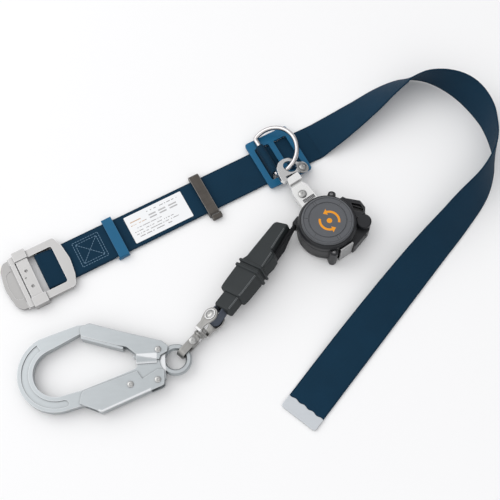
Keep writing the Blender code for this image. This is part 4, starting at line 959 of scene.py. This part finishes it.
for number, (angle, top) in enumerate(case["bosses"]):
    spot = seat((39.6 * math.cos(math.radians(angle)), 39.6 * math.sin(math.radians(angle)), 0), angle, 0,
                0, reelAt)
    post = flatShape([rounded([(-5, -5.6, 1), (3.2, -4.8, 4), (5.2, 0, 4), (3.2, 4.8, 4), (-5, 5.6, 1)],
                              6)], 0.9, top)
    soften(post, 0.7, 3, 40)
    finish(post, "caseBoss" + "AB"[number], "reel", "caseBlack", spot)
    screw = turnedShape([(0, top + 1.4), (1.6, top + 1.4), (2.6, top + 0.8), (2.9, top - 0.2),
                         (0, top - 0.2)], 28)
    slotCut = flatShape([circle((0, 0), 1.1, 6)], top + 0.6, top + 2)
    carve(screw, slotCut)
    finish(screw, "caseScrew" + "AB"[number], "reel", "blackSteel", spot, ["case_screw_" + "ab"[number]])

around = rodShape(37.25, 0, 60, sides=96)
post = rodShape(5.6, 0, 60, (39.6 * math.cos(math.radians(-44)), 39.6 * math.sin(math.radians(-44))))
housing = flatShape([rounded([(19, -34.5, 1), (18.5, -40, 2), (10, -46, 3), (1.5, -53.6, 3),
                              (-12, -51.5, 5),
                              (-24, -50.4, 6), (-34, -42.5, 5), (-42, -15, 3), (-42, -12, 1), (-30, -12)],
                              5)], 3.9, 23.5)
slope = boxShape((-80, -80, 0), (-20, 20, 30))
slope.data.transform(seat((-24, -34, 25.5), -30, 0, -38, Matrix()))
carve(housing, slope)
crown = flatShape([rounded([(19, -33, 1), (19.4, -38.2, 1), (15.4, -40.2, 1), (11.2, -44.4, 2),
                            (2.4, -53.2, 2.5),
                            (-8.5, -53.2, 3), (-14.2, -48.8, 2), (-15.6, -33, 1)], 5)], 20, 32.6)
pane = flatShape([rounded([(7.2, -42.0, 0.8), (-1.8, -50.8, 1), (-8.6, -50.2, 1), (-12.4, -46.6, 1),
                           (-4.2, -38.6, 0.8)], 4)],
                 26.0, 40)
carve(crown, pane)
lobe = rodShape(9.6, 14, 32.8, (-22.6, -40.8), 40)
soften(lobe, 1.8, 4, 40)
notch = boxShape((-15.4, -60, 22), (-14.0, -30, 40))
carve(crown, notch)
rib = flatShape([rounded([(-30.5, -22, 1), (-34, -36, 3), (-37.5, -36, 1), (-36.5, -20, 1)], 4)], 14, 21.6)
weld(housing, crown, lobe, rib)
carve(housing, around, post)
soften(housing, 0.8, 3, 40)
finish(housing, "reelSideHousing", "reel", "caseBlack", reelAt, ["side_housing"])
# a near-black floor and bar set at the bottom of the window recess, darker than the case around it: painted
# shade of the recess
floorPiece = flatShape([rounded([(6.6, -42.2, 1), (-1.8, -50.2, 1), (-8.4, -49.6, 1), (-11.8, -46.4, 1),
                                 (-4.2, -39.2, 1)],
                                4)], 26.05, 26.8)
bar = boxShape((-9.5, -46.6, 26), (5.5, -45.2, 30.6), 0.4)
bar.data.transform(Matrix.Translation((-0.002, -0.045, 0)) @ Matrix.Rotation(math.radians(38), 4, "Z")
                   @ Matrix.Translation((0.002, 0.045, 0)))
finish(gather(floorPiece, bar), "housingWindow", "reel", "deepBlack", reelAt)

mouthAt = seat((0, 0, 19), 0, 0, 0, lifeAt)
guide = boxShape((-6, -4.4, -10.4), (5.5, 4.4, 9.6), 1.1, 3)
carve(guide, boxShape((-15, -2.2, -8.2), (15, 2.2, 8.2)))
guide.data.transform(mouthAt)
hollow = rodShape(37.2, 0, 60, sides=96)
hollow.data.transform(reelAt)
finish(carve(guide, hollow), "reelMouth", "reel", "caseBlack", None, ["exit_guide"])
print("reel done")

# lifeline between reel and absorber
lifeline = {"start": -12.0, "end": 54.0, "thick": 3.4, "half": 7.2}


def lifelineRows(count=44, columns=8):
    rows = []
    for i in range(count + 1):
        x = lifeline["start"] + (lifeline["end"] - lifeline["start"]) * i / count
        drop = min(1.0, max(0.0, (x - 8) / 30))
        y = -0.6 + 2.2 * drop + 1.6 * drop * drop
        lean = math.radians(-20 * drop)
        rows.append([lifeAt @ (Vector((x, y + math.sin(lean) * t, 19 + math.cos(lean) * t)) * mm)
                     for t in [lifeline["half"] * (2 * j / columns - 1) for j in range(columns + 1)]])
    return rows


strapRows = lifelineRows()
lifelineStrap = skinShape(strapRows, closed=False)
modify(lifelineStrap, "SOLIDIFY", thickness=lifeline["thick"] * mm, offset=0.0)
soften(lifelineStrap, 0.6, 2, 60)
blackWoven = wovenFinish("blackWoven", (0.012, 0.013, 0.015), 0.064, 0.0136, 1.1, 0.9, 0.7, 1.2)
finish(lifelineStrap, "lifelineStrap", "reel", blackWoven, None, ["lifeline_strap"], angle=50,
       even=False)
lifelineStrap.parent = None
tuple(lifeAt @ (Vector((9, 0, 19)) * mm))
tuple(lifeAt @ (Vector((17, 0, 19)) * mm))
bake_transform(lifelineStrap)

# shock absorber's rubber cover
absorber = {"at": (15.0, -9.5, 19.5), "roll": 25.0,
            "sections": ((-3.0, -9.5, 5.0, 7.4, 2.6), (-2.2, -11.2, 6.2, 9.0, 3.0),
                         (0, -12.4, 7.0, 9.8, 2.8),
                         (20, -12.7, 8.6, 10.3, 2.4), (36.5, -13.0, 10.4, 10.7, 2.2),
                         (38.5, -13.1, 13.4, 10.8, 2.2),
                         (41, -13.2, 14.6, 10.9, 2.2), (58, -13.4, 15.6, 11.2, 2.2),
                         (63.0, -15.8, 16.2, 11.4, 2.2),
                         (64.6, -16.4, 16.4, 11.4, 2.2), (65.2, -18.2, 17.6, 12.9, 2.6),
                         (66.0, -18.9, 18.6, 13.6, 2.8),
                         (67.6, -18.9, 18.6, 13.6, 2.8), (68.4, -18.2, 17.6, 12.9, 2.6),
                         (69.0, -16.2, 16.2, 11.2, 2.4),
                         (71.6, -16.2, 16.2, 11.2, 2.4), (72.2, -18.2, 17.6, 12.9, 2.6),
                         (73.0, -18.9, 18.6, 13.6, 2.8),
                         (75.4, -18.9, 18.6, 13.6, 2.8), (76.2, -18.2, 17.6, 12.9, 2.6),
                         (77.0, -16.8, 16.8, 11.8, 2.2),
                         (80, -16.9, 17.0, 11.9, 2.0), (104, -16.6, 16.0, 11.5, 2.0),
                         (110.0, -16.0, 15.0, 11.0, 2.0),
                         (111.6, -14.6, 14.2, 10.2, 2.2), (112.0, -12.6, 12.6, 9.0, 2.2))}
absorberAt = seat(absorber["at"], 0, absorber["roll"], 0, lifeAt)


def boxSection(x, left, right, halfZ, corner, place):
    corners = rounded([(right, halfZ, corner), (left, halfZ, corner), (left, -halfZ, corner),
                       (right, -halfZ, corner)], 4)
    slant = 0.15 * max(0.0, 1 - x / 22)
    return [place @ (Vector((x - slant * p.x, p.x, p.y)) * mm) for p in corners]


def sleeve(sections, place):
    piece = skinShape([boxSection(*s, place) for s in sections])
    return piece


cover = sleeve(absorber["sections"], absorberAt)
modify(cover, "SUBSURF", levels=1, render_levels=1, subdivision_type="SIMPLE")
finish(cover, "absorberCover", "absorber", "darkRubber", None, ["absorber_cover", "tear_pack"], angle=28)
# the bulge at the side, where the lifeline runs down into the cover
bulge = sleeve(((37, 8, 12.4, 5.5, 2.0), (39, 8, 15.2, 7.6, 2.2), (44, 8, 18.6, 9.0, 2.4),
                (52, 8, 19.2, 9.4, 2.4),
                (59, 8, 18.0, 9.4, 2.2), (64.4, 8, 17.2, 9.0, 2.0)), absorberAt)
finish(bulge, "absorberBulge", "absorber", "darkRubber", None, angle=28)
neck = sleeve(((106, -9.6, 12.4, 7.4, 2.0), (107, -10.2, 13.0, 8.0, 2.0), (129.6, -10.6, 12.4, 8.0, 1.8),
               (131.8, -10.2, 12.0, 7.6, 2.0), (132.8, -9.2, 11.0, 6.6, 1.8)), absorberAt)
finish(neck, "absorberNeck", "absorber", "darkRubber", None, ["absorber_neck"], angle=28)
# lighter rubber lines laid just inside the cover's rounded long edges: a painted highlight
edgeHighlightLines = []
for side, top, edges in ((1, 1, ((4, 6.9, 9.7), (20, 8.5, 10.2), (36, 10.2, 10.6))),
                         (1, 1, ((41, 14.4, 10.8), (64, 16.2, 11.3))),
                         (1, 1, ((78, 16.7, 11.8), (104, 15.9, 11.4), (110, 14.9, 10.9))),
                         (-1, 1, ((4, 12.3, 9.7), (36, 12.9, 10.6), (58, 13.3, 11.1))),
                         (1, 1, ((107, 12.8, 7.9), (130, 12.2, 7.9)))):
    for shift, drop in ((0.9, 0.1), (0.1, 1.0)):
        edgeHighlightLines.append(wireShape([Vector((x, side * (y - shift), top * (z - drop) + 0.12)) for x, y,
                                  z in edges], 0.28))
finish(gather(*edgeHighlightLines), "absorberEdgeHighlights", "absorber", "highlightRubber", absorberAt)
print("absorber done")

# swivel connector
connector = {"pin": (161.0, -13.0, 15.0), "block": (199.0, -17.0, 9.5), "roll": -62.0, "earIn": 7.8,
             "earThick": 2.6}
pinSpot, blockSpot = Vector(connector["pin"]), Vector(connector["block"])
reach = blockSpot - pinSpot
turnOut = math.degrees(math.atan2(reach.y, reach.x))
slopeUp = math.degrees(math.asin(reach.z / reach.length))
clevisAt = seat(pinSpot, turnOut, connector["roll"], slopeUp, lifeAt)
swivelAt = seat(pinSpot, turnOut, 0, slopeUp, lifeAt)
lowerAt = seat(blockSpot, turnOut, 0, 0, lifeAt)
earOutline = rounded([(24.6, 5.4, 1), (13, 5.0, 8), (8.5, 7.4, 6), (0, 10.4, 9), (-9.6, 6, 8),
                      (-9.6, -6, 8),
                      (0, -10.4, 9), (8.5, -7.4, 6), (13, -5.0, 8), (24.6, -5.4, 1)], 6)
arms = []
for sign in (-1, 1):
    low, high = sorted((-sign * connector["earIn"], -sign * (connector["earIn"] + connector["earThick"])))
    arm = flatShape([earOutline], low, high, 0.6, 3)
    arm.data.transform(layOver)
    arms.append(arm)
cross = boxShape((21.5, -10.3, -5.3), (24.6, 10.3, 5.3), 0.7, 3)
collar = rodShape(6.4, 24.4, 27.4, edge=0.5)
collar.data.transform(Matrix.Rotation(math.pi / 2, 4, "Y"))
finish(gather(*arms, cross, collar), "connectorFork", "clevis", "plainSteel", clevisAt, ["upper_clevis"])
pinPiece = gather(rodShape(7.4, 10.3, 11.2, edge=0.3), rodShape(7.4, -11.2, -10.3, edge=0.3),
                  rivetPiece(3.0, 5.8, -10.7, 10.7, 2.3, 2.0, 1.2))
finish(pinPiece, "connectorPin", "clevis", "rivetSteel", clevisAt @ layOver, ["upper_pin"])
bush = turnedShape([(5.0, 7.3), (6.0, 7.3), (6.3, 6.8), (6.3, -6.8), (6.0, -7.3), (5.0, -7.3), (3.2, -7.3),
                    (3.2, 7.3)], 48, True)
finish(bush, "pinBush", "absorber", "greyBush", clevisAt @ layOver, ["pin_bush"])
loopRows = []
loopPath = [Vector((-16, 0.0, 5.2)), Vector((-9, 0, 6.6))]
loopPath += [Vector((7.5 * math.cos(math.radians(t)), 0,
                     7.5 * math.sin(math.radians(t)))) for t in range(110, -111, -10)]
loopPath += [Vector((-9, 0, -6.6)), Vector((-16, 0.0, -5.2))]
for p in loopPath:
    loopRows.append([clevisAt @ ((p + Vector((0, y, 0))) * mm) for y in (-6.5, -3.2, 0, 3.2, 6.5)])
endLoop = skinShape(loopRows, closed=False)
modify(endLoop, "SOLIDIFY", thickness=1.9 * mm, offset=0.0)
soften(endLoop, 0.5, 2, 60)
loopWoven = wovenFinish("loopWoven", (0.085, 0.100, 0.130), 0.055, 0.013, 1.1, 0.9, 0.6, 1.0)
finish(endLoop, "endLoop", "absorber", loopWoven, None, ["end_loop"], angle=50)

span = reach.length
barrel = turnedShape([(0, 17.2), (4.6, 17.2), (5.2, 18.0), (5.2, 21.1), (3.0, 21.2), (3.0, 25.4),
                      (6.6, 25.6),
                      (7.2, 26.4), (7.2, 28.4), (6.4, 29.2), (6.4, span - 5.4), (5.6, span - 4.6),
                      (0, span - 4.6)], 40)
barrel.data.transform(swivelAt @ Matrix.Rotation(math.pi / 2, 4, "Y"))
knuckle = flatShape([rounded([(-11, -5.6, 1.4), (0, -5.8, 5), (6.2, -5.0, 5), (6.2, 5.0, 5), (0, 5.8, 5),
                              (-11, 5.6, 1.4)], 6)], -4.7, 4.7, 0.7, 3)
knuckle.data.transform(lowerAt)
finish(gather(barrel, knuckle), "swivelBlock", "swivel", "plainSteel", None, ["swivel_stud"])
link = [(-8.0, 5.05), (16.5, 5.05)] + [(p.x, p.y) for p in arc((16.5, 0), 5.05, 80, -80,
                                                               16)] + [(16.5, -5.05), (-8.0, -5.05)]
outside = [(-8.0, -7.7), (16.5, -7.7)] + [(p.x, p.y) for p in arc((16.5, 0), 7.7, -80, 80,
                                                                  16)] + [(16.5, 7.7), (-8.0, 7.7)]
shackle = flatShape([[Vector(p) for p in link + outside]], -5.0, 5.0)
shackle.data.transform(layOver)
soften(shackle, 0.9, 3, 40)
finish(shackle, "eyeShackle", "swivel", "plainSteel", lowerAt, ["eye_shackle"])
finish(rivetPiece(2.3, 4.6, -7.7, 7.7, 1.5, 1.0, 0.9), "shackleRivet", "swivel", "rivetSteel", lowerAt,
       ["shackle_rivet"])
print("connector done")

# hook: forged body with a grooved bow
hook = {"bow": (141.5, 7.0), "outer": 48.0, "inner": 29.5, "low": 4.0, "high": 15.0,
        "gatePin": (20.7, -12.7),
        "leverPin": (21.9, 24.3), "stopPin": (54.4, 28.0)}
bowX, bowY = hook["bow"]
outside = [Vector((12, 22)), Vector((40, 30.5)), Vector((80, 41)), Vector((112, 49.4))]
outside += arc(hook["bow"], hook["outer"], 108, -62, 48)
outside += rounded([(150, -42.5), (118, -50, 4), (103.6, -50, 3), (103.6, -43.4, 3), (117, -38.0, 6),
                    (140, -26)], 5)[1:-1]
outside += arc(hook["bow"], hook["inner"], -66, 98, 40)
outside += [Vector((112, 30.6)), Vector((64, 14.4))]
outside += arc((54.5, 2.0), 8.8, 130, 246, 14)
outside += [Vector((42, -17)), Vector((24, -20.5)), Vector((13, -17.6))]
forged = flatShape([outside], hook["low"], hook["high"])
eyeWaist = rodShape(19.6, hook["low"] - 5, 5.3, sides=64)
eyeTop = rodShape(19.6, 13.7, hook["high"] + 5, sides=64)
carve(forged, eyeWaist, eyeTop)
soften(forged, 1.7, 4, 40)
eyeRing = turnedShape([(11.8, 9.5), (12.3, 7.0), (13.8, 5.5), (17.6, 5.5), (19.2, 7.0), (19.6, 9.5),
                       (19.2, 12.0),
                       (17.6, 13.5), (13.8, 13.5), (12.3, 12.0)], 64, True)
grooves = []
for low, high in ((13.6, 17.0), (2.0, 5.4)):
    end = arc(hook["bow"], 43.4, 104, -54, 48)
    back = arc(hook["bow"], 34.8, -54, 104, 48)
    tail = [Vector((bowX - 11.8, bowY + 34.6)), Vector((bowX - 14.2, bowY + 37.8)),
            Vector((bowX - 13.4, bowY + 41.4))]
    grooves.append(flatShape([end + back + tail], low, high))
bore = rodShape(11.7, 0, 30, sides=64)
carve(forged, *grooves, bore)
holes = [rodShape(5.4, 7, 30, hook[k], 28) for k in ("gatePin", "leverPin")] + [
    rodShape(2.7, 0, 30, hook[k], 20) for k in ("gatePin", "leverPin")] + [
    boxShape((hook["stopPin"][0] - 2.9, hook["stopPin"][1] - 7.2, 0),
             (hook["stopPin"][0] + 2.9, hook["stopPin"][1] + 3, 30))]
carve(forged, *holes)
finish(gather(forged, eyeRing), "hookBody", "hook", "zincPlate", hookAt, ["hook_body"], angle=40)


def about(points, centre):
    return [(p[0] - centre[0], p[1] - centre[1]) + tuple(p[2:]) for p in points]


def channel(outline, spine, pin, edge=0.7):
    # two cheeks over and under the body, joined by a spine along one side
    cheeks = [flatShape([rounded(about(outline, pin), 5)], low, low + 2.0, edge, 3)
              for low in (hook["high"] + 0.3, hook["low"] - 2.3)]
    back = flatShape([rounded(about(spine, pin), 4)], hook["low"] - 1.6, hook["high"] + 1.7)
    soften(back, 0.5, 3, 40)
    return gather(*cheeks, back)


gateAt = seat((*hook["gatePin"], 0), 0, 0, 0, hookAt)
gate = channel([(113.5, -35.6, 3), (115.0, -47.6, 6), (103, -51.4, 6), (60, -37.0), (16.4, -23.6, 5),
                (8.2, -16.6, 4),
                (9.4, -9.6, 2), (17.5, -5.6, 3), (19.5, 0.0, 2), (46.2, -7.0, 2), (51.5, -12.0, 6),
                (58.5, -18.4, 5),
                (71, -21.4, 4)],
               [(113.6, -36.6, 1), (113.6, -32.6, 1), (63.0, -15.6, 1), (62.0, -18.8, 1)], hook["gatePin"])
step = flatShape([rounded([(-8.5, 15.3), (-8.5, 17.1), (-4.4, 17.1, 0.8), (3.4, 15.9, 0.5), (3.6, 15.3)],
                          3)], 22.6, 47.0)
step.data.transform(Matrix.Translation((-hook["gatePin"][0] * mm, -hook["gatePin"][1] * mm, 0)) @ standUp)
finish(gather(gate, step), "hookGate", "gate", "zincPlate", gateAt, ["gate"])
leverAt = seat((*hook["leverPin"], 0), 0, 0, 0, hookAt)
lever = channel([(14.2, 30.6, 4), (13.4, 12.2, 3), (22.4, 11.6, 2), (40.2, 22.0, 0.5), (46.6, 12.0, 0.8),
                 (112, 32.4, 8), (115.0, 46.8, 2), (88.9, 58.6, 5)],
                [(30, 36, 0.8), (88.9, 58.8, 4), (93.2, 56.8, 0.6), (92.4, 54.9, 0.6), (88.7, 56.4, 3),
                 (30.5, 33.8, 0.8)],
                hook["leverPin"])
finish(lever, "hookLever", "lever", "zincPlate", leverAt, ["safety_lever"])
for name, spot, bodyName, stands in (("gateRivet", "gatePin", "gate", "gate_rivet"),
                                     ("leverRivet", "leverPin", "lever", "lever_pivot_rivet"),
                                     ("stopRivet", "stopPin", "lever", "lever_stop_rivet")):
    finish(rivetPiece(2.4, 3.9, 1.5, 17.5, 1.3, 1.1, 0.9), name, bodyName, "rivetSteel",
           seat((*hook[spot], 0), 0, 0, 0, hookAt), [stands])
print("hook done")

# what stays as the frame made it, inside the reel and the hook
inside = {"drum": "wornSteel", "drum_bush": "rivetSteel", "drum_shaft": "rivetSteel",
          "webbing_coil": "deepBlack",
          "main_spring": "springSteel", "spring_cup": "deepBlack", "spring_arbor": "rivetSteel",
          "lock_ring": "wornSteel", "pawl_a": "rivetSteel", "pawl_b": "rivetSteel",
          "gate_spring": "springSteel",
          "lever_spring": "springSteel"}
for node, look in inside.items():
    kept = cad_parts[node]
    kept.data.materials.clear()
    kept.data.materials.append(finishes[look])
    pick(kept)
    bpy.ops.object.shade_smooth_by_angle(angle=math.radians(35))
